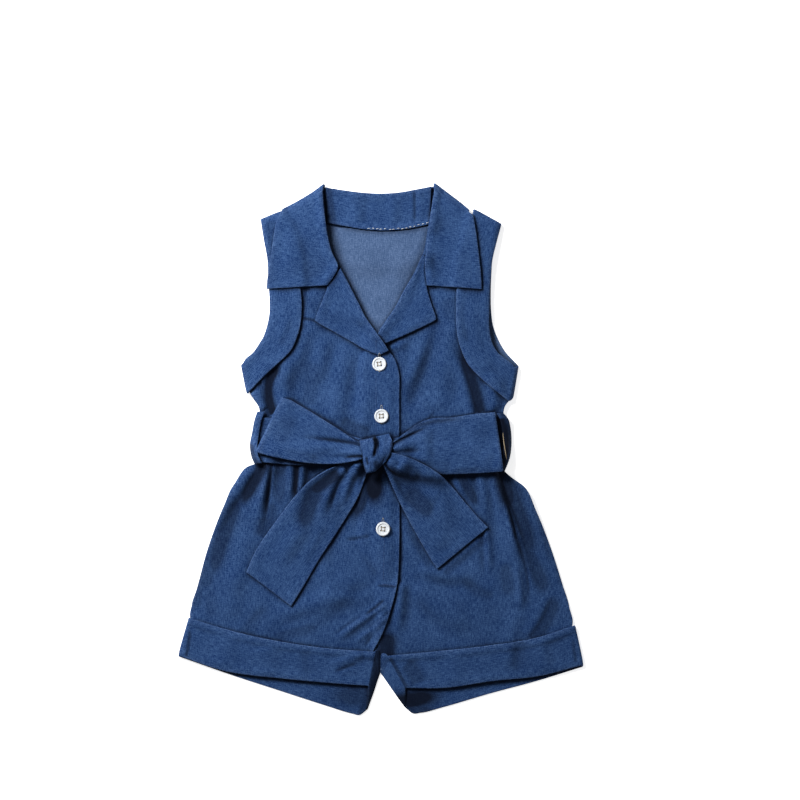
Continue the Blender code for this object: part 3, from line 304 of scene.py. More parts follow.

# Folds, by the piece that they lie in; their dark column is painted shade. Those named _back only
# paint shade onto a ring's back layer.
FOLDS = {
    "bodice_back": [
        (-47, 218, -43, 184, -32, 144, -0.6, 5.4, 0, 0.35, 0.5),
        (-36, 150, -22, 124, -2, 94, -0.2, 3, 0.2, 0),
        (38, 190, 31, 158, 12, 118, -0.3, 3, 0.3, 0.3, 0.16),
        (22, 176, 14, 150, 8, 128, 0.6, 8, 0.4, 0.4),
        (-2, 150, 2, 80, 0, 20, 1, 16, 0.3, 0.3),
    ],
    "bodice_front_left": [
        (63, 92, 75, 62, 83, 31, -3.2, 5.2, 0.42, 0, 0.86, 0.15),
        (84, 62, 86, 50, 88, 30, -1.6, 4, 0.3, 0, 0.24),
        (60, 130, 62, 118, 64, 102, -0.3, 10, 0.2, 0.4, 0.16),
        (93, 62, 95, 48, 97, 32, 1.4, 5, 0.2, 0.2),
        (51, 112, 42, 82, 24, 32, -1.7, 6.5, 0.15, 0.1, 0.17),
        (58, 116, 53, 76, 48, 32, 1, 8, 0.25, 0.1),
        (38, 96, 30, 74, 19, 50, 1, 5, 0.4, 0.3),
        (64, 100, 66, 74, 62, 34, -0.3, 5, 0.4, 0.1),
        (33, 46, 36, 36, 42, 28, 0.8, 4, 0.4, 0.1),
        (8, 86, 14, 88, 24, 93, 0.9, 3, 0.1, 0.3),
        (14, 98, 19, 70, 18.5, 16, 0.2, 2.6, 0.1, 0, 0.06),
    ],
    "bodice_front_right": [
        (-82, 72, -95.5, 56, -91.5, 30, -4.4, 4, 0.3, 0, 0.95, 0.1),
        (-103, 58, -99, 46, -93, 33, -1.6, 3.2, 0.1, 0, 0.22),
        (-58, 78, -59, 58, -62, 36, -0.4, 6, 0.3, 0.1, 0.22),
        (-110, 50, -105, 42, -99, 34, 1.8, 2.8, 0.2, 0.1),
        (-78, 84, -82, 58, -82, 30, 1.8, 6.5, 0.4, 0),
        (-62, 92, -66, 66, -62, 32, -0.4, 7, 0.3, 0.1),
        (-40, 96, -43, 72, -58, 40, -0.4, 6.5, 0.25, 0.2),
        (-50, 100, -52, 76, -60, 54, 1.1, 6, 0.3, 0.3),
        (-30, 92, -34, 60, -42, 22, 1.15, 7, 0.3, 0.1),
        (-20, 84, -24, 54, -30, 14, -0.5, 6, 0.3, 0.1),
        (-36, 26, -22, 18, -8, 13, -0.3, 5, 0.2, 0.2, 0.4),
        (-63, 138, -66, 120, -70, 104, -0.8, 4, 0.1, 0.4, 0.06),
        (-68, 110.6, -62, 110.4, -54, 108.2, -0.5, 1.3, 0, 0, 0.62),
        (-62, 134, -61, 124, -58, 114, -0.2, 5, 0.4, 0.1, 0.14),
        (-66, 104, -68, 88, -76, 66, 0.6, 5, 0.2, 0.3),
        (-10, 60, -12, 40, -16, 16, 0.8, 5, 0.4, 0.1),
        (6, 64, 7, 40, 5, 12, 0.5, 4, 0.3, 0.1),
    ],
    "shorts_front_left": [
        (93, -8, 105, -52, 120, -108, 3.4, 5, 0, 0.3, 0, -0.45),
        (100, -12, 115, -54, 134, -104, -3.8, 6.6, 0, 0.35, 0.62, 0.4),
        (118, -92, 124, -114, 126, -140, -0.7, 5, 0.3, 0.3, 0.06),
        (112, -96, 117, -116, 118, -138, 1.2, 3, 0.3, 0.3),
        (112, -18, 128, -44, 142, -84, 2.2, 6, 0.1, 0.4),
        (124, -34, 138, -66, 150, -108, -1.6, 5, 0.3, 0.3, 0.26),
        (99, -14, 106, -36, 113, -62, -1.4, 7.4, 0, 0.5, 0.84),
        (114, -70, 129, -98, 142, -128, -1.2, 6.6, 0.3, 0.3, 0.48),
        (138, -62, 150, -92, 159, -126, -0.3, 4.4, 0.3, 0.3, 0.46),
        (104, -19, 113, -34, 124, -58, -0.5, 6.4, 0, 0.5, 0.5),
        (66, -20, 75, -36, 84, -52, -1, 4.4, 0.1, 0.4, 0.66),
        (22, -66, 34, -86, 43, -102, -0.3, 3.6, 0.3, 0.2, 0.3),
        (52, -107, 71, -92, 93, -73, -0.3, 2.6, 0.1, 0.1, 0.34),
        (105, -94, 107, -110, 109, -128, -0.3, 6, 0.3, 0.3, 0.3),
        (103.4, -44, 108.6, -60, 112.6, -80, 1.3, 1.1, 0.3, 0.3),
        (97.5, -24, 108, -54, 114.6, -80, -0.9, 1.7, 0, 0.2, 0.52),
        (114, -76, 122.6, -100, 125.6, -130, -0.7, 1.6, 0.2, 0.3, 0.34),
        (83, -12, 87, -34, 92, -66, 1.6, 5, 0.05, 0.5),
        (75, -12, 79, -30, 84, -50, -1.9, 3.4, 0, 0.4, 0.34),
        (58, -14, 57, -28, 54, -44, -1.8, 4.4, 0, 0.5, 0.4),
        (44, -18, 52, -28, 62, -42, -1.2, 4.5, 0.1, 0.3, 0.36),
        (66, -12, 68, -30, 68, -52, 1.2, 4, 0.05, 0.5),
        (88, -64, 90, -84, 91, -112, 1.3, 2.6, 0.2, 0.4, 0, 0.3),
        (84, -62, 86, -86, 87, -112, -0.8, 3, 0.2, 0.4, 0.14),
        (148, -122, 140, -143, 128, -162, -2.2, 6, 0.3, 0, 0.46, 0.3),
        (118, -136, 112, -150, 108, -168, 0.6, 6, 0.3, 0.1),
        (17, -112, 15.5, -130, 13, -162, 1.8, 4.4, 0.2, 0.4),
        (24, -112, 24, -132, 24, -158, -0.5, 6, 0.3, 0.3),
        (16.4, -60, 16.8, -96, 14.6, -119, -0.6, 1.6, 0.2, 0.15, 0.3),
        (6, -152, 5, -165, 4, -180, -1.4, 7.6, 0.45, 0, 0.84),
        (26, -106, 48, -114, 82, -120, -0.9, 6, 0.2, 0.4, 0.05),
        (30, -100, 56, -106, 92, -104, 1.2, 6, 0.2, 0.4),
        (26, -114, 50, -136, 84, -156, 0.9, 8, 0.2, 0.3),
        (30, -128, 46, -148, 64, -168, -0.7, 6, 0.3, 0.2),
        (66, -108, 84, -122, 98, -126, -1.3, 5, 0.3, 0.3, 0.22),
        (24, -60, 30, -76, 44, -92, -1, 6, 0.3, 0.3, 0.14),
    ],
    "shorts_front_right": [
        (-98, -8, -109, -28, -125, -56, -4.2, 5.4, 0, 0.4, 0.88, 0.2),
        (-94, -6, -99.6, -30, -107, -66, 4, 4.4, 0, 0.5),
        (-92.4, -6, -95.4, -34, -100, -76, -2.4, 2.2, 0, 0.45, 0.5, -0.3),
        (-97, -56, -99, -66, -102, -78, -1, 6.6, 0.3, 0.3, 0.44),
        (-84, -8, -88, -36, -92, -64, 0.9, 5, 0, 0.5),
        (-85, -8, -86, -30, -88, -62, -0.3, 6, 0, 0.5, 0.42),
        (-71.2, -6, -72.2, -24, -74, -43, -4.4, 2.5, 0, 0.25, 1),
        (-66, -8, -68, -26, -72, -44, 1.8, 3.2, 0, 0.4),
        (-78, -8, -79, -26, -80, -50, 1.6, 3.4, 0, 0.5),
        (-62, -10, -58, -16, -54, -22, -1, 3.4, 0, 0.4, 0.46),
        (-112, -14, -128, -42, -140, -78, 2, 5, 0.1, 0.4),
        (-117, -34, -133, -70, -146, -118, -1.7, 6.6, 0.3, 0.3, 0.56),
        (-150, -98, -155, -118, -158, -138, -0.3, 4, 0.3, 0.2, 0.26),
        (-141, -86, -147, -104, -151, -122, -0.3, 6, 0.3, 0.3, 0.32),
        (-92, -42, -95, -62, -99, -84, -0.3, 6, 0.25, 0.3, 0.36),
        (-50, -150, -72, -156, -96, -161, -0.3, 4, 0.3, 0.3, 0.26),
        (-12, -22, -16, -42, -27, -66, -0.3, 4.8, 0, 0.4, 0.76),
        (-111, -66, -119, -92, -125, -128, 1.2, 8, 0.3, 0.3),
        (-30, -119, -66, -142, -100, -158, -0.8, 9, 0.35, 0.2, 0, 0.2),
        (-20, -120, -58, -132, -96, -142, 1.2, 7, 0.3, 0.4),
        (-92, -132, -108, -148, -112, -160, -1, 6, 0.3, 0.2, 0.16),
        (3, -127.4, -7, -136.2, -15.4, -141.6, -1.6, 1.3, 0.1, 0.4, 0.66),
        (-11, -139, -27, -149, -43, -160, -0.8, 1.7, 0.3, 0.4, 0.1),
        (3, -132, -20, -148, -40, -164, 1.6, 2.8, 0.05, 0.4),
        (8, -137, -4, -147, -18, -158, -1, 1.5, 0.1, 0.4, 0.22),
        (4, -142, -10, -154, -24, -166, 1.2, 2.2, 0.05, 0.4),
        (2, -150, -8, -160, -15, -169, -1, 1.6, 0.2, 0.3, 0.2),
        (8, -120, -26, -126, -58, -126, 0.2, 6, 0.1, 0.5),
        (-4, -116, -32, -120, -62, -114, -0.5, 5, 0.2, 0.4),
        (-32, -77, -20, -76, -8, -73, -1.1, 1.8, 0.3, 0.2, 0.34),
        (-54, -92, -46, -112, -40, -132, 1.1, 7, 0.4, 0.4),
        (-36, -64, -40, -84, -46, -108, -0.9, 7, 0.4, 0.4, 0.1),
        (-126, -96, -128, -120, -124, -148, 1, 8, 0.4, 0.3),
        (-146, -100, -146, -120, -142, -148, -1, 5, 0.4, 0.2, 0.14),
        (-6.6, -10, -6.4, -28, -6, -56, -1.6, 8.6, 0, 0.42, 1),
        (-18, -24, -28, -42, -46, -66, -1, 4, 0.1, 0.3, 0.4),
        (-3, -115.8, 5, -116.2, 12.4, -117.2, -0.4, 0.9, 0.1, 0, 0.66),
    ],
    "shorts_back_right": [
        (-40, -12, -44, -44, -46, -80, 1.6, 5, 0.02, 0.6),
        (-72, -12, -80, -46, -86, -86, 1.8, 5, 0.02, 0.6),
        (-16, -96, -44, -128, -72, -150, 1.2, 7, 0.4, 0.4),
    ],
    "shorts_back_left": [
        (42, -12, 46, -42, 48, -84, 1.6, 5, 0.02, 0.6),
        (74, -12, 82, -48, 86, -82, 1.8, 5, 0.02, 0.6),
        (14, -98, 46, -126, 70, -152, 1.2, 7, 0.4, 0.4),
    ],
    "collar_stand": [
        (-46, 223, -44, 206, -41, 188, -0.5, 4, 0, 0, 0.52),
        (28, 219, 28.5, 206, 28, 190, -1, 1.4, 0.05, 0.3, 0.4),
        (33, 219, 33.5, 206, 33, 190, 0.6, 3, 0.05, 0.3),
        (-28, 218, -22, 204, -24, 190, 0.9, 6, 0.2, 0.2),
        (-13, 217, -12, 206, -16, 190, -0.3, 5, 0.2, 0.2),
        (8, 215, 10, 202, 6, 188, 0.8, 5, 0.2, 0.2),
    ],
    "collar": [
        (-93, 190, -95, 166, -95, 138, -0.2, 5, 0.1, 0.1, 0.14),
        (-49.4, 220, -45.6, 190, -39, 162, -0.2, 2.6, 0, 0.2, 0.26),
        (-84, 142, -76, 166, -74, 190, 0.9, 8, 0.3, 0.3),
        (-62, 146, -61, 168, -64, 196, 0.4, 8, 0.3, 0.3),
        (66, 140, 62, 164, 60, 190, 0.5, 8, 0.3, 0.3),
        (47, 140, 47, 164, 48, 196, 0.3, 5, 0.3, 0.3),
    ],
    "lapel_right": [
        (-46, 120, -32, 116, -16, 106, 0.6, 6, 0.3, 0.3),
        (-47, 148, -39, 150, -34, 154, 0.3, 2.6, 0, 0.2, 0.1),
        (-22, 112, -10, 100, 2, 88, -0.6, 4, 0.3, 0.3, 0.16),
    ],
    "lapel_left": [
        (40, 128, 30, 120, 16, 108, 0.5, 5, 0.3, 0.3),
        (41, 120, 32, 110, 18, 101, 0.9, 6, 0.2, 0.2),
    ],
    "armhole_cuff_right": [
        (-88, 136, -80, 104, -84, 86, 0.7, 7, 0.3, 0.3),
        (-76, 112, -79, 98, -88, 86, -0.6, 4, 0.3, 0.3, 0.14),
        (-95, 196, -92, 178, -91, 150, -0.5, 4, 0.2, 0.3, 0.22),
        (-102, 66, -106, 70, -112, 76, -0.4, 4, 0.2, 0.3),
    ],
    "armhole_cuff_left": [
        (78, 132, 78, 104, 84, 80, 0.7, 8, 0.3, 0.3),
        (70, 128, 70, 108, 76, 86, -0.6, 4, 0.3, 0.3, 0.12),
        (91, 84, 96, 70, 103, 58, -0.5, 4, 0.3, 0.3, 0.02),
    ],
    "leg_cuff_right": [
        (-20, -182, -30, -185, -42, -190, -1.4, 1.7, 0.3, 0.4, 0.34, 0.2),
        (-14, -174, -28, -178, -46, -184, 1.2, 3.2, 0.2, 0.4),
        (-100, -166, -98, -180, -96, -194, 0.7, 9, 0.2, 0.2),
        (-64, -168, -62, -182, -60, -196, -0.6, 6, 0.2, 0.2, 0.1),
        (-130, -156, -132, -170, -134, -186, 0.8, 8, 0.2, 0.2),
        (-162.4, -152, -163.6, -164, -165.6, -176, -1.4, 1.4, 0.3, 0, 0.62),
    ],
    "leg_cuff_left": [
        (118, -163, 116, -178, 112, -194, -1.2, 6, 0.05, 0.4, 0.24),
        (134, -160, 136, -174, 138, -190, 0.8, 6, 0.2, 0.2),
        (60, -172, 62, -186, 62, -200, 0.8, 9, 0.2, 0.2),
        (28, -174, 30, -188, 34, -202, -0.6, 5, 0.2, 0.2, 0.12),
        (7.2, -177, 14, -189, 21.8, -202.4, -1.3, 1.8, 0, 0, 0.6),
        (20, -181, 27, -189, 32, -200, -0.7, 7, 0.2, 0.1, 0.36),
        (162.6, -160, 163.8, -170, 165.4, -181, -1, 1.4, 0.3, 0, 0.4),
    ],
    "leg_cuff_right_back": [
        (-13, -204, -26, -210, -60, -206, 0, 9, 0, 0.6, 0.52),
        (-10, -200, -13, -212, -15, -226, 0, 4.4, 0, 0, 0.6),
    ],
    "leg_cuff_left_back": [
        (14, -216, 34, -212, 62, -208, 0, 7.6, 0, 0.6, 0.97),
        (20, -218, 34, -222, 54, -218, 0, 4.6, 0, 0.6, 0.64),
    ],
    "belt": [
        (98, 28, 101, 8, 99, -14, -0.6, 4.6, 0, 0, 0.95),
        (-90, -9, -60, -12, -30, -8, -0.3, 3, 0.3, 0.3, 0.42),
    ],
    "belt_loop_right": [
        (-101.5, 26, -104, 10, -103, -8, -0.2, 1, 0.1, 0.1, 0.2),
        (-110.5, 6, -109.5, -4, -104, -14, -0.1, 3.2, 0.2, 0, 0.6),
    ],
    "belt_loop_left": [
        (101, 27, 104.6, 8, 102, -15, -0.2, 3.2, 0.05, 0.05, 1),
        (103, 34, 109, 8, 104, -18, -0.1, 4.4, 0, 0, 0.66),
    ],
    "bow_loop_right": [
        (-14, 3, -40, 7.2, -76, 11, -2, 1.9, 0, 0.6, 0.72, -0.3),
        (-14, 0, -42, 1.6, -80, 3, 1.2, 3.4, 0.15, 0.6),
        (-14, 5, -42, 14, -72, 23, 1.2, 5, 0, 0.6),
        (-14, -6.6, -22, -5.8, -34, -7.6, -2, 1.5, 0, 0.4, 0.92),
        (-15, -3, -30, -2.2, -50, -5, 1.2, 2.2, 0, 0.5),
        (-30, 9, -50, 17, -62, 24, -0.3, 2.6, 0.2, 0.4, 0.06),
        (-50, -8, -66, -5, -88, 0, -0.6, 3, 0.3, 0.3, 0.16),
        (-78, 34, -82, 18, -90, 2, 0.3, 7, 0.3, 0.3, 0.16),
    ],
    "bow_loop_left": [
        (8, 3.4, 22, 11.2, 46, 22.6, -2, 1.6, 0, 0.45, 0.9, -0.2),
        (30, 19, 50, 24, 74, 26, -0.3, 1.8, 0.1, 0.5, 0.56),
        (8, 6, 22, 14, 38, 23, 0.9, 1.8, 0, 0.5),
        (20, 14.5, 28, 19, 38, 23, -0.3, 2.2, 0.2, 0.3, 0.5),
        (9, 0, 26, 6, 46, 13, 1.6, 4, 0, 0.6),
        (9, -2, 24, -1.5, 42, 0, -1.1, 2.2, 0, 0.5, 0.12),
        (9, -6, 28, -8, 52, -9, 1.5, 3.6, 0, 0.6),
        (34, 22, 36, 8, 38, -14, 0.8, 5, 0.3, 0.3),
        (45, 22, 44, 6, 44, -12, -0.5, 4, 0.3, 0.3, 0.1),
        (72, 26, 80, 6, 78, -16, 0.9, 9, 0.3, 0.3),
        (56, -19, 72, -18, 88, -16, -0.5, 2.4, 0.3, 0.3, 0.16),
    ],
    "bow_tail_right": [
        (-34, -16, -48, -27, -66, -40, -3, 5.2, 0.25, 0.35, 0.88, 0.3),
        (-24, -8, -46, -16.5, -70, -35, 1.2, 1.8, 0.2, 0.4),
        (-53, -33, -62, -52, -68, -74, -1.8, 6.8, 0.1, 0.4, 0.62),
        (-30, -18, -43, -32, -53, -62, 3, 3.8, 0.05, 0.4),
        (-26, -14, -38, -32, -44, -56, -1.4, 2.2, 0.05, 0.35, 0.12),
        (-20, -12, -28, -28, -34, -52, 2.2, 3.2, 0.05, 0.4),
        (-13, -12, -16, -24, -20, -38, -1.2, 1.6, 0.05, 0.4, 0.1),
        (-18, -11, -20.5, -17, -22, -27, 2.8, 3, 0, 0.4),
        (-56, -54, -76, -78, -88, -104, 1.4, 7, 0.3, 0.4),
        (-44, -64, -54, -84, -66, -104, -0.8, 4, 0.3, 0.3, 0.14),
    ],
    "bow_tail_left": [
        (4, -12.6, 10.5, -19.4, 21, -24.4, -2.4, 1.3, 0, 0.35, 0.7, -0.2),
        (6, -9, 14, -15.6, 24, -20, 1.7, 2.6, 0, 0.4),
        (7, -3.6, 22, -8.6, 36, -16, -0.7, 2, 0, 0.4),
        (14, -7, 34, -18, 52, -34, 1.4, 4, 0.2, 0.5),
        (14, -12, 22, -17, 32, -24, 1.8, 4, 0.2, 0.3),
        (2, -12, 9, -26, 18, -46, 1.8, 3.4, 0, 0.5),
        (8, -20, 17, -36, 26, -50, -0.7, 3, 0.2, 0.4, 0.04),
        (19, -30, 35, -48, 47, -54, -1.6, 7.6, 0.25, 0.4, 0.52, 0.1),
        (34, -30, 52, -46, 68, -62, 0.3, 7, 0.4, 0.4),
        (30, -60, 44, -74, 58, -84, 0.8, 7, 0.4, 0.4),
    ],
    "bow_knot": [
        (-6.2, 10.5, -4.6, 3, -6.8, -8, -3.6, 1.3, 0, 0.25, 1),
        (-8.6, 10.4, -2.4, 7.4, -1.9, -2, 1.2, 0.9, 0.1, 0.3),
        (-14, 8, -12, 1, -12.6, -8, 1.4, 3, 0, 0.3),
        (-12.6, -5, -11.8, -10, -10.8, -13, -1.8, 0.8, 0.2, 0.2, 0.8),
        (-15, -3, -14.4, -9, -11.4, -17, 0.9, 1, 0.1, 0.1),
        (-9.8, -8, -9.8, -13, -10.4, -18, 0.9, 1, 0.2, 0.1),
        (3.4, 12, 4, 4, 1.6, -6, -0.7, 1.8, 0.2, 0.3, 0.14),
        (8.8, 8, 8.6, 0, 3.9, -9.5, -0.5, 1.3, 0.2, 0, 0.75),
        (-5.4, -8, -3.6, -13, -1.6, -17, -0.9, 2.4, 0.3, 0, 0.6),
        (-16.6, -5, -16.2, -12, -12.6, -19, -0.2, 0.9, 0.1, 0.1, 0.6),
    ],
}

NECK_STITCHES = Stitching(-12.0, 187.6, 14.0, 187.4, 40.0, 192.6, 2.1, 3.6, 0.55)
PLACKET_STITCHES = Stitching(-4.6, 92.0, -4.6, 60.0, -4.6, 12.0, 1.7, 2.4, 0.28)
FLY_STITCHES = Stitching(2.4, -77.0, 2.0, -94.0, 1.4, -112.0, 1.7, 2.4, 0.32)
LOOP_THREAD = Stitching(103.0, 14.0, 104.2, 3.0, 106.4, -10.0, 23.0, 40.0, 0.8)
FLY_BAR = Stitching(0.8, -114.4, 7.0, -115.3, 13.0, -116.0, 0.9, 1.0, 0.5)


# ---------------------------------------------------------------- sizes and colours


def metres(name, description, default, least, most):
    """A length that a user can change, metres."""
    return FloatProperty(name=name, description=description, default=default, min=least, max=most,
                         unit="LENGTH")


def colour(name, description, default):
    """A colour that a user can change."""
    return FloatVectorProperty(name=name, description=description, default=default, min=0.0,
                               max=1.0, subtype="COLOR")


class RomperCloth(PropertyGroup):
    """Thickness, fineness and unevenness of the cloth"""

    wall: metres("Cloth wall", "One layer of denim with its pressed edges", 0.0012, 0.0005, 0.003)
    cuff_wall: metres("Cuff wall", "Two layers: collar, cuffs and belt loops",
                      0.0018, 0.0008, 0.004)
    belt_wall: metres("Belt wall", "The tie, a turned tube pressed flat", 0.0014, 0.0008, 0.004)
    gap: metres("Gap", "Air between pieces that lie on each other", 0.0003, 0.0001, 0.002)
    pitch: metres("Mesh pitch", "Distance between grid lines of the cloth", 0.00125, 0.0008, 0.006)
    drape: metres("Drape", "How softly a sheet comes down over an edge beneath it",
                  0.0018, 0.0005, 0.01)
    puff: metres("Puff", "How far the fronts stand off the back between their seams",
                 0.0014, 0.0, 0.01)
    wave: metres("Waves", "Height of the broad unevenness of laid cloth", 0.0007, 0.0, 0.004)
    pucker: metres("Pucker", "Height of the small ripples along seams", 0.00022, 0.0, 0.002)
    folding: FloatProperty(
        name="Folding", description="Share of the folds' full height", default=1.25, min=0.0,
        max=2.0)
    # Hollows: painted shade, how much darker the colour is made in hollows and beside edges away
    # from the key light.
    hollow: FloatProperty(
        name="Hollows", description="How much darker cloth is for each millimetre that it lies "
        "below its surroundings", default=0.50, min=0.0, max=2.0)


class RomperDenim(PropertyGroup):
    """Colours and weave of the denim"""

    warp: colour("Warp", "Indigo threads of the right side", (0.0041, 0.0196, 0.079))
    weft: colour("Weft", "Paler threads of the right side", (0.0408, 0.0903, 0.209))
    inside_warp: colour("Inside warp", "Darker threads of the wrong side", (0.032, 0.062, 0.135))
    inside_weft: colour("Inside weft", "Paler threads of the wrong side", (0.085, 0.136, 0.254))
    # The colour that painted shade blends the cloth towards.
    hollow: colour("Hollows", "Cloth that hardly any light reaches", (0.0012, 0.0024, 0.0075))
    thread: metres("Thread pitch", "Distance between neighbouring threads", 0.00048, 0.0002, 0.002)


class RomperTrim(PropertyGroup):
    """Colours of the buttons and the sewing thread"""

    pearl: colour("Button", "Colour of the buttons", (0.64, 0.67, 0.685))
    button_thread: colour("Button thread", "Thread that holds the buttons", (0.30, 0.235, 0.150))
    white_thread: colour("Neck thread", "Thread of the neck seam", (0.62, 0.66, 0.72))
    blue_thread: colour("Seam thread", "Thread of the placket and the fly", (0.030, 0.072, 0.215))


class RomperStage(PropertyGroup):
    """Floor, light and lens"""

    floor: colour("Floor", "Colour of the floor", (0.94, 0.94, 0.94))
    glow: FloatProperty(
        name="Floor glow", description="Light that the floor gives off, as a light table does",
        default=0.66, min=0.0)
    key: FloatProperty(
        name="Key light", description="Power of the near light at the upper left", default=22.3,
        min=0.0, subtype="POWER")
    fill: FloatProperty(
        name="Fill light", description="Power of the large light above", default=3.2, min=0.0,
        subtype="POWER")
    sky: FloatProperty(
        name="Ambient light", description="Strength of the even white surroundings", default=0.22,
        min=0.0)
    lens: FloatProperty(
        name="Lens", description="Focal length of the camera", default=100.0, min=20.0, max=300.0,
        subtype="DISTANCE_CAMERA")


def cloth(name):
    """A cloth size in millimetres."""
    return getattr(bpy.context.scene.romper_cloth, name) / MM


# ---------------------------------------------------------------- plans


def hermite(values, knots, at):
    """Cubic Hermite curve through values at knots, its slopes the central differences there."""
    slopes = np.gradient(values, knots, axis=0)
    k = np.clip(np.searchsorted(knots, at, side="right") - 1, 0, len(knots) - 2)
    h = (knots[k + 1] - knots[k])[:, None]
    t = (at - knots[k])[:, None] / h
    return (
        (2 * t**3 - 3 * t**2 + 1) * values[k] + (t**3 - 2 * t**2 + t) * h * slopes[k]
        + (3 * t**2 - 2 * t**3) * values[k + 1] + (t**3 - t**2) * h * slopes[k + 1]
    )


def lengths_along(points):
    """Distance of each point from the first: the running sum of the steps between them."""
    steps = np.linalg.norm(np.diff(points, axis=0), axis=1)
    return np.concatenate([[0.0], np.cumsum(steps)])


def curve(points, shares):
    """Points at shares of the chord length along the smooth curve through points."""
    points = np.array(points, float)
    knots = lengths_along(points)
    if len(points) == 2:
        return points[0] + (points[1] - points[0]) * shares[:, None]
    return hermite(points, knots, shares * knots[-1])


def axis(length, pitch, wall, rims=(True, True)):
    """Shares 0..1 about pitch apart, with closer ones at rimmed ends; and each one's distance
    from the nearer rim."""
    near = np.array(RIM_LINES) * wall / 2
    first = near if rims[0] else np.zeros(1)
    last = length - (near[::-1] if rims[1] else np.zeros(1))
    count = max(3, round((last[0] - first[-1]) / pitch) + 1)
    at = np.concatenate([first[:-1], np.linspace(first[-1], last[0], count), last[1:]])
    far = np.full(at.shape, NO_RIM)
    from_rim = np.minimum(at if rims[0] else far, length - at if rims[1] else far)
    return at / length, np.maximum(from_rim, 0.0)


def patch(edges, u, v):
    """Coons patch: each point is the blend across, plus the blend along, less the corner blend."""
    start, end = curve(edges.start, u), curve(edges.end, u)
    left, right = curve(edges.left, v), curve(edges.right, v)
    u, v = u[None, :, None], v[:, None, None]
    across = (1 - u) * left[:, None] + u * right[:, None]
    lengthways = (1 - v) * start[None] + v * end[None]
    corners = (1 - v) * ((1 - u) * start[0] + u * start[-1]) + v * ((1 - u) * end[0] + u * end[-1])
    return across + lengthways - corners


def strip(rows, u, v):
    """Smooth curves through the rows' ends, at shares v of the middle line, and straight lines
    across them, at shares u."""
    ends = np.array(rows, float)
    knots = lengths_along((ends[:, :2] + ends[:, 2:]) / 2)
    ends = hermite(ends, knots, v * knots[-1])
    u = u[None, :, None]
    return (1 - u) * ends[:, None, :2] + u * ends[:, None, 2:]


def strip_size(rows):
    """Mean width and middle length of a strip, millimetres."""
    ends = np.array(rows, float)
    wide = np.linalg.norm(ends[:, :2] - ends[:, 2:], axis=1).mean()
    return wide, lengths_along((ends[:, :2] + ends[:, 2:]) / 2)[-1]


def grid_lengths(plan):
    """Millimetres along each grid line from its start: across the columns and along the rows."""
    across = np.linalg.norm(np.diff(plan, axis=1), axis=2)
    down = np.linalg.norm(np.diff(plan, axis=0), axis=2)
    return (
        np.concatenate([np.zeros((plan.shape[0], 1)), np.cumsum(across, axis=1)], axis=1),
        np.concatenate([np.zeros((1, plan.shape[1])), np.cumsum(down, axis=0)], axis=0),
    )


def with_height(plan, height):
    """The plan's points with their heights as a third coordinate."""
    return np.concatenate([plan, np.broadcast_to(height, plan.shape[:2])[..., None]], axis=2)


def bent_line(points, count):
    """Points along the parabola through three points: the Bezier curve whose control point is
    twice the middle point, less the mean of the two ends."""
    first, middle, last = np.array(points, float).reshape(3, 2)
    bend = 2 * middle - (first + last) / 2
    t = np.linspace(0, 1, count)[:, None]
    return (1 - t) ** 2 * first + 2 * t * (1 - t) * bend + t**2 * last


# ---------------------------------------------------------------- heights


def shifted(raster, dy, dx):
    """The raster moved by whole cells, edge cells repeated."""
    wide = np.pad(raster, ((abs(dy), abs(dy)), (abs(dx), abs(dx))), mode="edge")
    rows, columns = raster.shape
    return wide[abs(dy) + dy:abs(dy) + dy + rows, abs(dx) + dx:abs(dx) + dx + columns]


def highest_within(raster, reach):
    """The highest cell within reach cells of each cell."""
    result = raster.copy()
    whole = int(math.ceil(reach))
    for dy in range(-whole, whole + 1):
        for dx in range(-whole, whole + 1):
            if 0 < dy * dy + dx * dx <= reach * reach:
                result = np.maximum(result, shifted(raster, dy, dx))
    return result


def softened(raster, soft):
    """Gaussian mean: the product of the raster's spectrum and a bell's."""
    margin = int(4 * soft) + 2
    wide = np.pad(raster, margin, mode="edge")
    fy = np.fft.fftfreq(wide.shape[0])[:, None]
    fx = np.fft.rfftfreq(wide.shape[1])[None, :]
    bell = np.exp(-2 * (math.pi * soft) ** 2 * (fy**2 + fx**2))
    mean = np.fft.irfft2(np.fft.rfft2(wide) * bell, s=wide.shape)
    return mean[margin:-margin, margin:-margin]


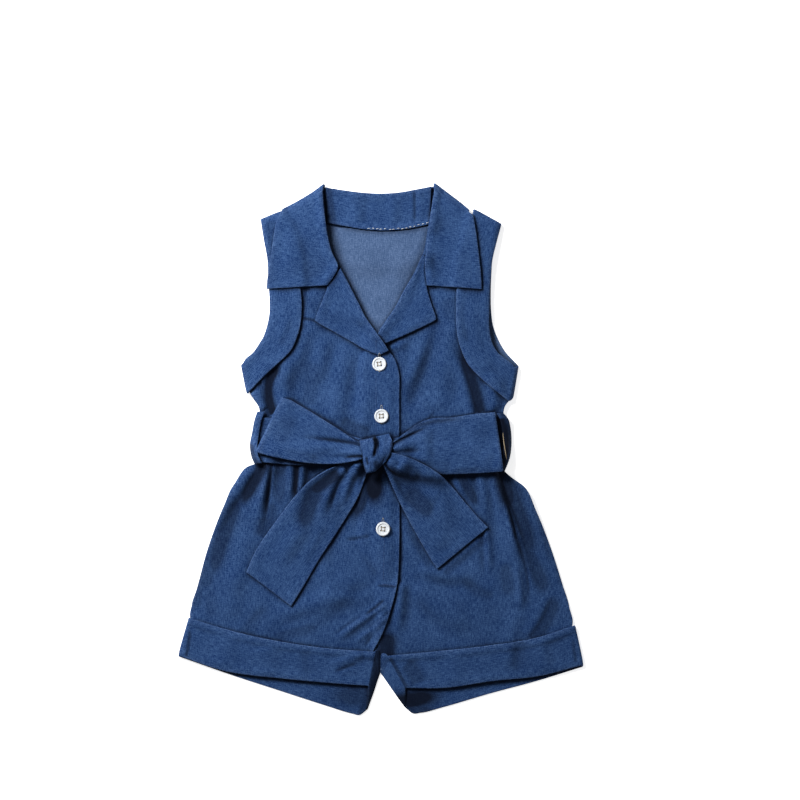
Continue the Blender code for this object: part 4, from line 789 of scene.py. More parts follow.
class Laid:
    """The heights of all that has been laid, on a plan raster; the next sheet lies on it."""

    def __init__(self):
        """Starts with an empty table."""
        self.clear()

    def clear(self):
        """Takes everything off the table."""
        self.top = np.zeros((round(2 * HALF_Y / CELL), round(2 * HALF_X / CELL)))
        self.sheets = []

    def add(self, sheet):
        """Raises the raster to a sheet of points, resampled finer than its cells."""
        rows, columns = sheet.shape[:2]
        v = np.linspace(0, rows - 1, FINER * (rows - 1) + 1)
        u = np.linspace(0, columns - 1, FINER * (columns - 1) + 1)
        i = np.minimum(v.astype(int), rows - 2)
        j = np.minimum(u.astype(int), columns - 2)
        fv, fu = (v - i)[:, None, None], (u - j)[None, :, None]
        fine = (
            (1 - fv) * (1 - fu) * sheet[i][:, j] + (1 - fv) * fu * sheet[i][:, j + 1]
            + fv * (1 - fu) * sheet[i + 1][:, j] + fv * fu * sheet[i + 1][:, j + 1]
        ).reshape(-1, 3)
        ix = ((fine[:, 0] + HALF_X) / CELL).astype(int)
        iy = ((fine[:, 1] + HALF_Y) / CELL).astype(int)
        np.maximum.at(self.top, (iy, ix), fine[:, 2])

    def under(self, plan, gap, soft, bridge=0.0):
        """Height of a sheet's underside: everything within reach, plus the gap, then softened."""
        raised = np.where(self.top > 0, self.top + gap, 0.0)
        raised = highest_within(raised, 2.0 * soft / CELL)
        if bridge:
            raised = np.maximum(raised, softened(raised, bridge / CELL))
        return sampled(softened(raised, soft / CELL), plan)

    def height(self, plan):
        """Height of all that has been laid, at the plan's points."""
        return sampled(self.top, plan)

    def shade(self):
        """Paints shade into cloth in hollows and beside edges away from the key light, and paints
        highlight on heights: its depth below the blurred raster, sampled towards the light.
        """
        near, wide = softened(self.top, NEAR_BLUR / CELL), softened(self.top, WIDE_BLUR / CELL)
        hollow = bpy.context.scene.romper_cloth.hollow
        for made, points in self.sheets:
            facing = np.zeros(points.size, np.float32)
            made.data.vertices.foreach_get("normal", facing)
            spots = points[None, :, :2]
            below = NEAR_SHARE * sampled(near, spots + TO_LIGHT)[0]
            below = below + (1 - NEAR_SHARE) * sampled(wide, spots + 2 * TO_LIGHT)[0]
            below = (below - points[:, 2]) * smooth_step(facing[2::3] * UPWARD)
            # Painted shade is added to the shade attribute; painted highlight on heights is added
            # to the rim attribute, on top of its edge wear.
            shade, rim = read_field(made, "shade"), read_field(made, "rim")
            most = DARKEST - PALER_INSIDE * read_field(made, "reverse")
            lost = np.clip(hollow * below - SPARED, 0, most)
            paling = np.clip(-HEIGHT_HIGHLIGHT * below, 0, MOST_HIGHLIGHT)
            write_field(made, "shade", 1 - (1 - shade) * (1 - lost))
            write_field(made, "rim", np.clip(rim + paling, 0, 1))


def sampled(raster, plan):
    """The raster between its cells' middles, bilinear."""
    x = np.clip((plan[..., 0] + HALF_X) / CELL - 0.5, 0, raster.shape[1] - 1.001)
    y = np.clip((plan[..., 1] + HALF_Y) / CELL - 0.5, 0, raster.shape[0] - 1.001)
    j, i = x.astype(int), y.astype(int)
    fx, fy = x - j, y - i
    low = (1 - fx) * raster[i, j] + fx * raster[i, j + 1]
    high = (1 - fx) * raster[i + 1, j] + fx * raster[i + 1, j + 1]
    return (1 - fy) * low + fy * high


def read_field(made, name):
    """The values of a mesh attribute, one for each point."""
    data = made.data.attributes[name].data
    values = np.zeros(len(data), np.float32)
    data.foreach_get("value", values)
    return values


def write_field(made, name, values):
    """Sets a mesh attribute, which is made if it is new, to one value for each point."""
    fields = made.data.attributes
    field = fields.get(name) or fields.new(name, "FLOAT", "POINT")
    field.data.foreach_set("value", values.astype(np.float32))


LAID = Laid()


def smooth_step(t):
    """0 below 0, 1 above 1, 3t^2 - 2t^3 between."""
    t = np.clip(t, 0.0, 1.0)
    return t * t * (3 - 2 * t)


def folded(plan, folds):
    """Height and painted shade of folds: bells across a bent line through three points.

    A trough has shoulders: half as high as it is deep, and twice as wide."""
    height, dark = np.zeros(plan.shape[:2]), np.zeros(plan.shape[:2])
    share = bpy.context.scene.romper_cloth.folding
    for fold in (Fold(*row) for row in folds):
        line = bent_line(fold[:6], BEND_STEPS)
        run = np.gradient(line, axis=0)
        pace = np.linalg.norm(run, axis=1)
        run = run / pace[:, None]
        near = np.zeros(plan.shape[:2], int)
        least = np.full(plan.shape[:2], np.inf)
        for k, point in enumerate(line):
            distance = ((plan - point) ** 2).sum(axis=2)
            near = np.where(distance < least, k, near)
            least = np.minimum(distance, least)
        away = plan - line[near]
        ahead = (away * run[near]).sum(axis=2)
        side = run[near][..., 0] * away[..., 1] - run[near][..., 1] * away[..., 0]
        wide = fold.wide * (1 + fold.skew * np.sign(side))
        at = (near + ahead / pace[near]) / (BEND_STEPS - 1)
        past = np.maximum(0.0, np.maximum(-at, at - 1)) * pace.sum()
        fade = smooth_step(at / (fold.into + 1e-6)) * smooth_step((1 - at) / (fold.out + 1e-6))
        square = side**2 + past**2
        bell = np.exp(-square / wide**2) * fade
        shoulders = np.exp(-square / (SHOULDER_WIDE * wide) ** 2) * fade
        high = SHOULDER_HIGH if fold.lift < 0 else 0.0
        height += share * fold.lift * (bell - high * shoulders)
        dark = np.maximum(dark, fold.dark * np.minimum(1.0, DARK_GAIN * bell**DARK_POWER))
    return height, dark


def waves(plan, seed):
    """Broad unevenness between 0 and 1: crossing sine waves, longer ones higher."""
    draw = np.random.default_rng(seed)
    total, most = np.zeros(plan.shape[:2]), 0.0
    for _ in range(WAVES):
        length = draw.uniform(WAVE_SHORT, WAVE_LONG)
        angle, phase = draw.uniform(0, math.pi), draw.uniform(0, 2 * math.pi)
        ahead = plan[..., 0] * math.cos(angle) + plan[..., 1] * math.sin(angle)
        total += length * np.sin(2 * math.pi * ahead / length + phase)
        most += length
    return np.clip(0.5 + 0.9 * total / most, 0, 1)


def puckers(along, from_rim, seed):
    """Ripples between 0 and 1 beside a seam: a sine of uneven pace that dies out away from it."""
    turn = 2 * math.pi * along
    pace = turn / PUCKER_LONG + PUCKER_SWAY * np.sin(turn / PUCKER_BEAT + seed)
    return np.exp(-from_rim / PUCKER_REACH) * (0.5 + 0.5 * np.sin(pace + seed))


def ridge(from_rim, at, wide):
    """Bell at a distance from the rim, where a seam allowance ends inside a double piece."""
    return np.exp(-(((from_rim - at) / wide) ** 2))


# ---------------------------------------------------------------- shells


def normals(mid, ring):
    """Unit normals of a grid: the cross product of its differences across and along."""
    across = np.gradient(mid, axis=1)
    if ring:
        down = (np.roll(mid, -1, axis=0) - np.roll(mid, 1, axis=0)) / 2
    else:
        down = np.gradient(mid, axis=0)
    normal = np.cross(across, down)
    normal /= np.maximum(np.linalg.norm(normal, axis=2, keepdims=True), 1e-9)
    return normal if normal[: max(3, len(mid) // 4), :, 2].mean() > 0 else -normal


def put(name, data):
    """A new object with this data, in the scene."""
    made = bpy.data.objects.new(name, data)
    bpy.context.scene.collection.objects.link(made)
    return made


def new_object(name, points, faces, material):
    """A mesh object in the frame's metres, from plan millimetres, riding on the one body."""
    mesh = bpy.data.meshes.new(name)
    mesh.from_pydata((points * MM + SHIFT).tolist(), [], faces.tolist())
    mesh.shade_smooth()
    mesh.materials.append(material)
    made = put(name, mesh)
    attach(made, "root")
    return made


def quads(grid):
    """One quad for each cell of a grid of point numbers: its four corners in turn."""
    corners = (grid[:-1, :-1], grid[:-1, 1:], grid[1:, 1:], grid[1:, :-1])
    return np.stack(corners, axis=-1).reshape(-1, 4)


def wrapped(grid, *axes):
    """The grid with its first row or column once more at its end, so that its quads close it."""
    for axis_number in axes:
        grid = np.concatenate([grid, grid.take([0], axis=axis_number)], axis=axis_number)
    return grid


def outward(points, faces):
    """The faces, turned over if the volume that they enclose comes out below nothing."""
    a, b, c, d = (points[faces[:, k]] for k in range(4))
    volume = np.einsum("ij,ij->", a, np.cross(b, c)) + np.einsum("ij,ij->", a, np.cross(c, d))
    return faces if volume > 0 else faces[:, ::-1]


def shell(name, mid, thick, uv, rim, shade, reverse=0.0, ring=False, upright=False):
    """A closed cloth shell: two grids half a thickness to each side of a middle one, one rim.

    The thickness is nothing at the rim, so both grids share its points there. An upright shell's
    thickness is measured straight up. reverse may be a pair, for the upper grid and the lower."""
    normal = normals(mid, ring)
    if upright:
        normal = np.zeros(mid.shape) + (0.0, 0.0, np.sign(normal[..., 2].mean()))
    rows, columns = mid.shape[:2]
    inner = np.ones((rows, columns), bool)
    inner[:, [0, -1]] = False
    if not ring:
        inner[[0, -1]] = False
    half = 0.5 * (thick * inner)[..., None] * normal
    points = np.concatenate([(mid + half).reshape(-1, 3), (mid - half)[inner]])
    high = np.arange(rows * columns).reshape(rows, columns)
    low = high.copy()
    low[inner] = rows * columns + np.arange(inner.sum())
    if ring:
        high, low = wrapped(high, 0), wrapped(low, 0)
        uv = wrapped(uv, 0)
        uv[-1, :, 1] = 2 * uv[-2, :, 1] - uv[-3, :, 1]
    grid = quads(np.arange(high.size).reshape(high.shape))
    high, low, back = quads(high), quads(low)[:, ::-1], grid[:, ::-1]
    if np.cross(mid[0, 1] - mid[0, 0], mid[1, 0] - mid[0, 0]) @ normal[0, 0] <= 0:
        high, low, grid, back = high[:, ::-1], low[:, ::-1], back, grid
    made = new_object(name, points, np.concatenate([high, low]), denim())
    layer = made.data.uv_layers.new(name="cloth")
    corners = np.concatenate([grid, back])
    layer.uv.foreach_set("vector", (uv.reshape(-1, 2)[corners] * UV_UNIT).ravel())
    for field, values in (("reverse", reverse), ("rim", rim), ("shade", shade)):
        sides = values if isinstance(values, tuple) else (values, values)
        upper, lower = (np.broadcast_to(side, inner.shape) for side in sides)
        write_field(made, field, np.concatenate([upper.ravel(), lower[inner]]))
    LAID.sheets.append((made, points))
    return made


def rounding(from_u, from_v, wall):
    """Thickness over the grid: the wall, and a quarter ellipse down to nothing at the rim."""
    near = np.minimum(from_u[None, :], from_v[:, None]) / (wall / 2)
    return wall * np.sqrt(np.clip(1 - (1 - np.clip(near, 0, 1)) ** 2, 0, 1))


def rim_light(from_u, from_v):
    """How much each point has faded with wear: 1 at the rim, less than half of that 1 mm away."""
    return np.exp(-np.minimum(from_u[None, :], from_v[:, None]) / RIM_WEAR)


def declare(node, plan, cut=None):
    """Works out a cloth piece's cut size, from its plan if none is given, and its area, which
    nothing keeps; hides the part that it stands for.

    The area is the sum of half the cross products of the plan's cell diagonals."""
    across, down = grid_lengths(plan)
    wide, long = cut or (max(across[:, -1].max() * MM, LEAST_CUT), down[-1].max() * MM)
    a, b = plan[1:, 1:] - plan[:-1, :-1], plan[1:, :-1] - plan[:-1, 1:]
    area = np.abs(a[..., 0] * b[..., 1] - a[..., 1] * b[..., 0]).sum() / 2 * MM * MM
    area = wide * long if cut else min(max(area, 0.3 * wide * long), wide * long)
    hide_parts(node)


def piece(node, mid, rims, wall, uv, shade, plan=None, reverse=0.0,
          ring=False):
    """A cloth piece: a shell whose wall is rounded off at its rims; the part that it stands for is
    hidden.

    rims: distance of each column and of each row from the nearer rim; plan: UV if not given."""
    made = shell(node + "_cloth", mid, rounding(*rims, wall), uv, rim_light(*rims), shade, reverse,
                 ring)
    declare(node, uv if plan is None else plan)


def upper(mid, wall):
    """The upper side of a sheet that lies flat enough, from its middle."""
    return mid + (0, 0, wall / 2)


def panel(name, edges, seed, puff=0.0, front=True, soft=None):
    """A cloth panel: laid on what is beneath, puffed between its seams, folded and puckered."""
    wall, pitch = cloth("wall"), cloth("pitch")
    size = [lengths_along(np.array(edge, float))[-1] for edge in edges]
    u, from_u = axis(max(size[0], size[1]), pitch, wall)
    v, from_v = axis(max(size[2], size[3]), pitch, wall)
    plan = patch(edges, u, v)
    across, down = grid_lengths(plan)
    under = LAID.under(plan, cloth("gap"), soft or cloth("drape"))
    between = smooth_step(np.minimum(from_u[None], from_v[:, None]) / CALM)
    fold, dark = folded(plan, FOLDS[name])
    lift = puff * (1 - u[None] ** 3) * np.sin(np.pi * v[:, None]) ** 0.6
    lift = lift + cloth("wave") * waves(plan, seed) * between
    lift += cloth("pucker") * puckers(down, from_u[None], seed)
    lift += cloth("pucker") * puckers(across, from_v[:, None], seed + 1)
    mid = with_height(plan, under + soft_floor(lift + fold) + wall / 2)
    piece(name, mid, (from_u, from_v), wall, plan, dark,
          reverse=(0.0, 1.0) if front else (1.0, 0.0))
    LAID.add(upper(mid, wall))


def soft_floor(lift, bend=0.16):
    """Never below nothing, and bent smoothly towards it: half of the sum of x and a hyperbola."""
    return np.maximum(0.0, 0.5 * (lift + np.sqrt(lift * lift + bend)) - bend)


def flat_strip(name, rows, wall, seed, roll=0.0, roll_wide=5.0, allowance=0.3, bridge=0.0):
    """An open strip laid on what is beneath; its first edge may stand up as a soft roll."""
    wide, long = strip_size(rows)
    u, from_u = axis(wide, cloth("pitch"), wall)
    v, from_v = axis(long, cloth("pitch"), wall)
    plan = strip(rows, u, v)
    across, down = grid_lengths(plan)
    under = LAID.under(plan, cloth("gap"), cloth("drape"), bridge)
    fold, dark = folded(plan, FOLDS[name])
    near = np.minimum(from_u[None], from_v[:, None])
    lift = roll * np.exp(-((across / roll_wide) ** 2))
    lift = lift + allowance * ridge(near, *STRIP_SEAM) + 0.5 * cloth("wave") * waves(plan, seed)
    lift = lift + cloth("pucker") * puckers(down, from_u[None], seed)
    mid = with_height(plan, under + soft_floor(lift + fold) + wall / 2)
    uv = np.stack([across, down], axis=-1)
    piece(name, mid, (from_u, from_v), wall, uv, dark, plan=plan)
    LAID.add(upper(mid, wall))


def half_turn(first, last, before, bulge, corner=(0.0, 0.0)):
    """Rows from one layer's last row to the other's first: a cosine between, a sine outward.

    The sine goes in towards the hem; corner moves the turn's middle at the upper edge."""
    out = first[:, :2] - before[:, :2]
    out = out.mean(axis=0) / np.linalg.norm(out.mean(axis=0))
    angle = np.pi * np.arange(1, TURN_STEPS)[:, None, None] / TURN_STEPS
    rows = first + (last - first) * (1 - np.cos(angle)) / 2
    s = np.linspace(0, 1, first.shape[0])[None, :, None]
    rows[..., :2] += out * bulge * np.sin(angle) * (1 - s**8)
    rows[..., :2] += np.array(corner) * np.sin(angle) * (1 - s) ** 2
    return rows


def joined_lengths(mid):
    """UV of a grid in space: millimetres across each row, and along the middle column."""
    across = np.linalg.norm(np.diff(mid, axis=1), axis=2)
    across = np.concatenate([np.zeros((len(mid), 1)), np.cumsum(across, axis=1)], axis=1)
    down = lengths_along(mid[:, mid.shape[1] // 2])
    return np.stack([across, np.broadcast_to(down[:, None], across.shape)], axis=-1)


def cuff(name, front, back, seed, puff=0.0, corner=(0, 0), inner_dark=(0, 0)):
    """A flattened ring: front layer on what is beneath, a half turn, back layer on the table.

    inner_dark: painted shade of the half turn at the last row, beside the front and beside the
    back;
    corner: how far that turn's upper end is drawn over."""
    wall, pitch = cloth("cuff_wall") if name != "belt" else cloth("belt_wall"), cloth("pitch")
    wide, long = strip_size(front)
    u, from_u = axis(wide, pitch, wall)
    front_plan = strip(front, u, axis(long, pitch, wall, (False, False))[0])
    back_plan = strip(back, u, axis(long, pitch * 1.6, wall, (False, False))[0])
    down = grid_lengths(front_plan)[1]
    under = LAID.under(front_plan, cloth("gap"), cloth("drape"))
    under = np.maximum(under, wall + LUMEN)
    fold, dark = folded(front_plan, FOLDS[name])
    arch = np.sin(np.pi * np.linspace(0, 1, len(front_plan)))[:, None]
    lift = puff * arch + 0.3 * ridge(from_u[None], *CUFF_SEAM)
    lift = lift + cloth("wave") * waves(front_plan, seed) * arch
    lift = lift + cloth("pucker") * puckers(down, from_u[None], seed)
    top = with_height(front_plan, under + soft_floor(lift + fold) + wall / 2)
    low = with_height(back_plan, wall / 2)
    far = half_turn(top[-1], low[-1], top[-2], TURN, corner)
    near = half_turn(low[0], top[0], low[1], TURN)
    mid = np.concatenate([top, far, low[::-1], near])
    turn = slice(len(top), len(top) + len(far))
    hidden = slice(turn.stop, turn.stop + len(low))
    shade, lining = np.zeros(mid.shape[:2]), np.zeros(mid.shape[:2])
    shade[:turn.start] = dark
    shade[turn] = np.linspace(*inner_dark, len(far))[:, None] ** 0.5
    # Folds named _back paint shade onto the turn and the back layer.
    if name + "_back" in FOLDS:
        shade[turn] = np.maximum(shade[turn], folded(far[..., :2], FOLDS[name + "_back"])[1])
        shade[hidden] = folded(back_plan, FOLDS[name + "_back"])[1][::-1]
    # The back layers of the armhole rings show the wrong side, where painted shade is held lower.
    lining[hidden] = name.startswith("armhole")
    piece(name, mid, (from_u, np.full(len(mid), NO_RIM)), wall, joined_lengths(mid), shade,
          reverse=(0.0, lining), ring=True)
    LAID.add(upper(mid, wall))


def lay_back(rows, wall):
    """Notes the hidden back layer of a ring, flat on the table, before its ring is made."""
    wide, long = strip_size(rows)
    plan = strip(rows, np.linspace(0, 1, round(wide / 1.5)), np.linspace(0, 1, round(long / 1.5)))
    LAID.add(with_height(plan, wall))


def collar(seed):
    """Right leaf over the front, round the shoulder, flat under the back, and the left leaf.

    A leaf's roll line stands up as half a bell, and goes down into the gorge at the notch."""
    wall, pitch = cloth("cuff_wall"), cloth("pitch")
    u, from_u = axis(COLLAR_WIDE, pitch, wall)
    halves = []
    for rows, roll in zip((COLLAR_LEAF_RIGHT, COLLAR_LEAF_LEFT), COLLAR_ROLLS):
        v, from_v = axis(strip_size(rows)[1], pitch, wall, (True, False))
        plan = strip(rows, u, v)
        across, down = grid_lengths(plan)
        under = LAID.under(plan, cloth("gap"), cloth("drape"), 5.0)
        fold, dark = folded(plan, FOLDS["collar"])
        near = np.minimum(from_u[None], from_v[:, None])
        lift = roll * np.exp(-((across / COLLAR_ROLL_WIDE) ** 2))
        lift = lift + 0.32 * ridge(near, *COLLAR_SEAM)
        lift = lift + 0.6 * cloth("wave") * waves(plan, seed)
        lift = lift + cloth("pucker") * puckers(down, from_u[None], seed)
        gorge = smooth_step((GORGE_END - v[:, None]) / GORGE_FADE)
        gorge = gorge * np.exp(-((across / GORGE_WIDE) ** 2))
        lift = soft_floor(lift + fold) - GORGE_DEPTH * gorge
        halves.append((with_height(plan, under + lift + wall / 2), from_v, dark))
    (right, right_rim, right_dark), (left, left_rim, left_dark) = halves
    back_v, _ = axis(strip_size(COLLAR_BACK)[1], pitch * 1.5, wall, (False, False))
    back = with_height(strip(COLLAR_BACK, u, back_v), wall / 2)
    drawn_in = SHOULDER_TURN - DRAWN_IN * np.sin(np.pi * u)[None, :, None]
    over_right = half_turn(right[-1], back[0], right[-2], drawn_in)
    over_left = half_turn(left[-1], back[-1], left[-2], SHOULDER_TURN)[::-1]
    mid = np.concatenate([right, over_right, back, over_left, left[::-1]])
    hidden = len(mid) - len(right) - len(left)
    from_v = np.concatenate([right_rim, np.full(hidden, NO_RIM), left_rim[::-1]])
    shade = np.concatenate([right_dark, np.zeros((hidden, len(u))), left_dark[::-1]])
    flat = joined_lengths(mid)
    piece("collar", mid, (from_u, from_v), wall, flat[..., ::-1], shade,
          plan=flat)
    LAID.add(upper(right, wall))
    LAID.add(upper(left, wall))


def bow_loop(name, rows, seed, puff):
    """A bow loop: an under layer out from the knot, a half turn, and an upper layer back."""
    wall, pitch = cloth("belt_wall"), cloth("pitch")
    wide, long = strip_size(rows)
    u, from_u = axis(wide, pitch, wall)
    v, from_v = axis(long, pitch, wall, (True, False))
    plan = strip(rows, u, v)
    under = LAID.under(plan, cloth("gap"), cloth("drape"), 6.0)
    fold, dark = folded(plan, FOLDS[name])
    low = with_height(plan, under + wall / 2)
    t, s = v[:, None], u[None, :]
    opened = 0.3 + (LUMEN - 0.3) * np.minimum(1, 2 * t)
    lift = opened + puff * np.sin(np.pi * t) * np.sin(np.pi * s) ** 0.8
    lift = lift + 0.8 * cloth("wave") * waves(plan, seed) * np.sin(np.pi * t)
    high = with_height(plan, under + wall / 2 + wall + soft_floor(lift + fold))
    far = half_turn(low[-1], high[-1], low[-2], TURN)
    mid = np.concatenate([low, far, high[::-1]])
    from_v = np.concatenate([from_v, np.full(len(far), NO_RIM), from_v[::-1]])
    shade = np.concatenate([np.zeros((len(low) + len(far), len(u))), dark[::-1]])
    piece(name, mid, (from_u, from_v), wall, joined_lengths(mid), shade)
    LAID.add(upper(high, wall))


def knot():
    """A closed lump: a dome over a flat seat, grooved into two lobes and drawn in by small folds.

    The left lobe runs out level with the placket above it."""
    u, from_u = axis(KNOT_ACROSS, KNOT_PITCH, KNOT_EDGE)
    v, from_v = axis(KNOT_DOWN, KNOT_PITCH, KNOT_EDGE)
    plan = strip(BOW_KNOT, u, v)
    under = LAID.under(plan, cloth("gap"), 2.0)
    s, t = u[None, :], v[:, None]
    dome = np.sqrt(np.sin(np.pi * s)) * np.sin(np.pi * (0.12 + 0.76 * t)) ** 0.5
    fold, dark = folded(plan, FOLDS["bow_knot"])
    crown = under.max() - KNOT_DROP + (KNOT_RISE + KNOT_DROP) * dome + fold * dome
    near = np.minimum(from_u[None], from_v[:, None]) / KNOT_EDGE
    rim = KNOT_RIM * np.sqrt(np.clip(1 - (1 - np.clip(near, 0, 1)) ** 2, 0, 1))
    run_out = smooth_step((s - 0.46) / 0.10) * smooth_step(1.0 - t / 0.55)
    body = (crown - under) * np.minimum(1, 1.6 * near**0.5) * (1 - run_out)
    over = under + np.maximum(rim * (1 - 0.9 * run_out), body)
    mid = with_height(plan, (under + over) / 2)
    uv = np.stack(grid_lengths(plan), axis=-1)
    made = shell("bow_knot_cloth", mid, over - under, uv, 0.1 * rim_light(from_u, from_v), dark,
                 upright=True)
    LAID.add(with_height(plan, over))
    declare("bow_knot", plan, KNOT_CUT)


# ---------------------------------------------------------------- sewing


def stitch_row(name, sewing, material, wander=0.0, seed=0):
    """Stitches along a bent line: each a short tube, arched over the cloth with pointed ends."""
    line = bent_line(sewing[:6], 200)
    lengths = lengths_along(line)
    starts = np.arange(0.0, lengths[-1] - sewing.stitch, sewing.space)
    draw = np.random.default_rng(seed)
    starts = starts + wander * draw.uniform(-0.6, 0.6, len(starts))
    sway = wander * draw.uniform(-0.5, 0.5, (len(starts), 1))
    share = np.linspace(0, 1, 6)
    at = starts[:, None] + share[None] * sewing.stitch
    x, y = np.interp(at, lengths, line[:, 0]), np.interp(at, lengths, line[:, 1]) + sway
    centre = np.stack([x, y], axis=-1)
    run = np.gradient(centre, axis=1)
    run /= np.linalg.norm(run, axis=2, keepdims=True)
    z = LAID.height(centre) + sewing.thick * (0.1 + 0.5 * np.sin(np.pi * share))[None]
    radius = sewing.thick / 2 * np.sqrt(np.sin(np.pi * (0.08 + 0.84 * share)))
    angle = circle(STITCH_SIDES)
    aside = np.stack([-run[..., 1], run[..., 0]], axis=-1)
    points = np.zeros((*at.shape, STITCH_SIDES, 3))
    points[..., :2] = centre[:, :, None] + aside[:, :, None] * (
        radius[None, :, None, None] * np.cos(angle)[None, None, :, None])
    points[..., 2] = z[..., None] + radius[None, :, None] * np.sin(angle)
    tubes(name, points, material)


def circle(count):
    """Angles that divide a full turn evenly."""
    return 2 * np.pi * np.arange(count) / count


def tubes(name, points, material):
    """Closed tubes from an array of tubes, rings and points round each ring.

    Each end is closed by quads across it, from one side to the other."""
    count, rings, sides = points.shape[:3]
    index = np.arange(rings * sides).reshape(rings, sides)
    caps = np.array([
        [cap[k], cap[k + 1], cap[sides - 2 - k], cap[sides - 1 - k]]
        for cap in (index[0][::-1], index[-1]) for k in range(sides // 2 - 1)
    ])
    one = np.concatenate([quads(wrapped(index, 1)), caps])
    faces = (one[None] + (np.arange(count) * rings * sides)[:, None, None]).reshape(-1, 4)
    flat = points.reshape(-1, 3)
    made = new_object(name, flat, outward(flat, faces), material)


def buttonhole(name, x, y, material):
    """A closed satin-stitched oval: a tube round a slot, its thickness beaded stitch by stitch.

    The oval is a superellipse, and its tube's radius a sine with a crest for every third point."""
    turns = 96
    t = np.linspace(0, 2 * np.pi, turns, endpoint=False)
    along = 0.95 * np.sign(np.cos(t)) * np.abs(np.cos(t)) ** 0.6
    up = BUTTONHOLE_LONG / 2 * np.sign(np.sin(t)) * np.abs(np.sin(t)) ** 0.9
    centre = np.stack([along + x, up + y], axis=-1)
    out = np.stack([along, up * 0.3], axis=-1)
    out /= np.linalg.norm(out, axis=1, keepdims=True)
    radius = 0.42 * (1 + 0.16 * np.sin(t * turns / 3))
    angle = circle(THREAD_SIDES)
    points = np.zeros((turns, THREAD_SIDES, 3))
    points[..., :2] = centre[:, None] + out[:, None] * (radius[:, None, None]
                                                        * np.cos(angle)[None, :, None])
    points[..., 2] = LAID.height(centre)[:, None] + 0.12 + 0.6 * radius[:, None] * np.sin(angle)
    flat = points.reshape(-1, 3)
    index = np.arange(turns * THREAD_SIDES).reshape(turns, THREAD_SIDES)
    made = new_object(name, flat, outward(flat, quads(wrapped(index, 0, 1))), material)


# ---------------------------------------------------------------- materials


def fill_in(node, **values):
    """Sets a node's inputs; an underscore in a name stands for a space."""
    for name, value in values.items():
        node.inputs[name.replace("_", " ")].default_value = value


def group(name, inputs, outputs):
    """A new shader node group with named sockets, with its input node and its output node."""
    made = bpy.data.node_groups.new(name, "ShaderNodeTree")
    for label, kind in inputs:
        made.interface.new_socket(label, in_out="INPUT", socket_type=kind)
    for label in outputs:
        made.interface.new_socket(label, in_out="OUTPUT", socket_type="NodeSocketFloat")
    return made, made.nodes.new("NodeGroupInput"), made.nodes.new("NodeGroupOutput")


def maths(tree, operation, a, b=None, c=None, clamp=False):
    """A Math node; each argument is a number or a socket. Returns its output."""
    node = tree.nodes.new("ShaderNodeMath")
    node.operation = operation
    node.use_clamp = clamp
    for socket, value in zip(node.inputs, (a, b, c)):
        if value is None:
            continue
        if isinstance(value, (int, float)):
            socket.default_value = value
        else:
            tree.links.new(value, socket)
    return node.outputs[0]


def blend(tree, share, a, b):
    """A colour Mix node: a where share is 0, b where it is 1. Returns its colour."""
    node = tree.nodes.new("ShaderNodeMix")
    node.data_type = "RGBA"
    tree.links.new(share, node.inputs[0])
    for socket, value in ((node.inputs[6], a), (node.inputs[7], b)):
        if isinstance(value, bpy.types.NodeSocket):
            tree.links.new(value, socket)
        else:
            socket.default_value = (*value, 1.0)
    return node.outputs[2]


def stretched_noise(tree, vector, scale, detail=2.0, rough=0.5):
    """Noise whose grain is stretched by a scale along each axis. Returns its value."""
    mapping = tree.nodes.new("ShaderNodeMapping")
    fill_in(mapping, Scale=scale)
    tree.links.new(vector, mapping.inputs["Vector"])
    noise = tree.nodes.new("ShaderNodeTexNoise")
    fill_in(noise, Scale=1.0, Detail=detail, Roughness=rough)
    tree.links.new(mapping.outputs[0], noise.inputs["Vector"])
    return noise.outputs["Fac"]


def weave_group():
    """Plain weave of uneven threads: how pale each spot is, and how high it stands.

    Threads cross as the product of two sines does; noises stretched along the warp and the weft, a
    fine fleck and a broad cloud are added to it."""
    made, entry, leave = group(
        "Denim weave", [("Place", "NodeSocketVector"), ("Pitch", "NodeSocketFloat")],
        ["Pale", "Height"])
    scaled = made.nodes.new("ShaderNodeVectorMath")
    scaled.operation = "SCALE"
    fill_in(scaled, Scale=1 / UV_UNIT)
    made.links.new(entry.outputs["Place"], scaled.inputs[0])
    place = scaled.outputs[0]
    split = made.nodes.new("ShaderNodeSeparateXYZ")
    made.links.new(place, split.inputs[0])
    x, y = (maths(made, "DIVIDE", split.outputs[k], entry.outputs["Pitch"]) for k in range(2))
    over = maths(made, "MULTIPLY", maths(made, "SINE", maths(made, "MULTIPLY", x, math.pi)),
                 maths(made, "SINE", maths(made, "MULTIPLY", y, math.pi)))
    crossing = maths(made, "MULTIPLY_ADD", over, 0.5, 0.5)
    warp = stretched_noise(made, place, (1.25, 0.20, 1.0))
    weft = stretched_noise(made, place, (0.30, 1.5, 1.0))
    fleck = stretched_noise(made, place, (1.35, 1.35, 1.0), detail=3.0, rough=0.7)
    cloud = stretched_noise(made, place, (0.05, 0.035, 1.0), detail=3.0, rough=0.6)
    pale = maths(made, "MULTIPLY_ADD", crossing, 0.30, 0.22)
    for value, strength in ((warp, 1.7), (weft, 1.3), (fleck, 2.4), (cloud, 0.7)):
        part = maths(made, "MULTIPLY_ADD", value, strength, -strength / 2)
        pale = maths(made, "ADD", pale, part)
    pale = maths(made, "ADD", pale, 0.0, clamp=True)
    height = maths(made, "MULTIPLY_ADD", warp, 0.5, maths(made, "MULTIPLY", crossing, 0.5))
    height = maths(made, "MULTIPLY_ADD", weft, 0.5, height)
    made.links.new(pale, leave.inputs["Pale"])
    made.links.new(height, leave.inputs["Height"])
    return made


def attribute(tree, name):
    """The value of a mesh attribute."""
    node = tree.nodes.new("ShaderNodeAttribute")
    node.attribute_name = name
    return node.outputs["Fac"]


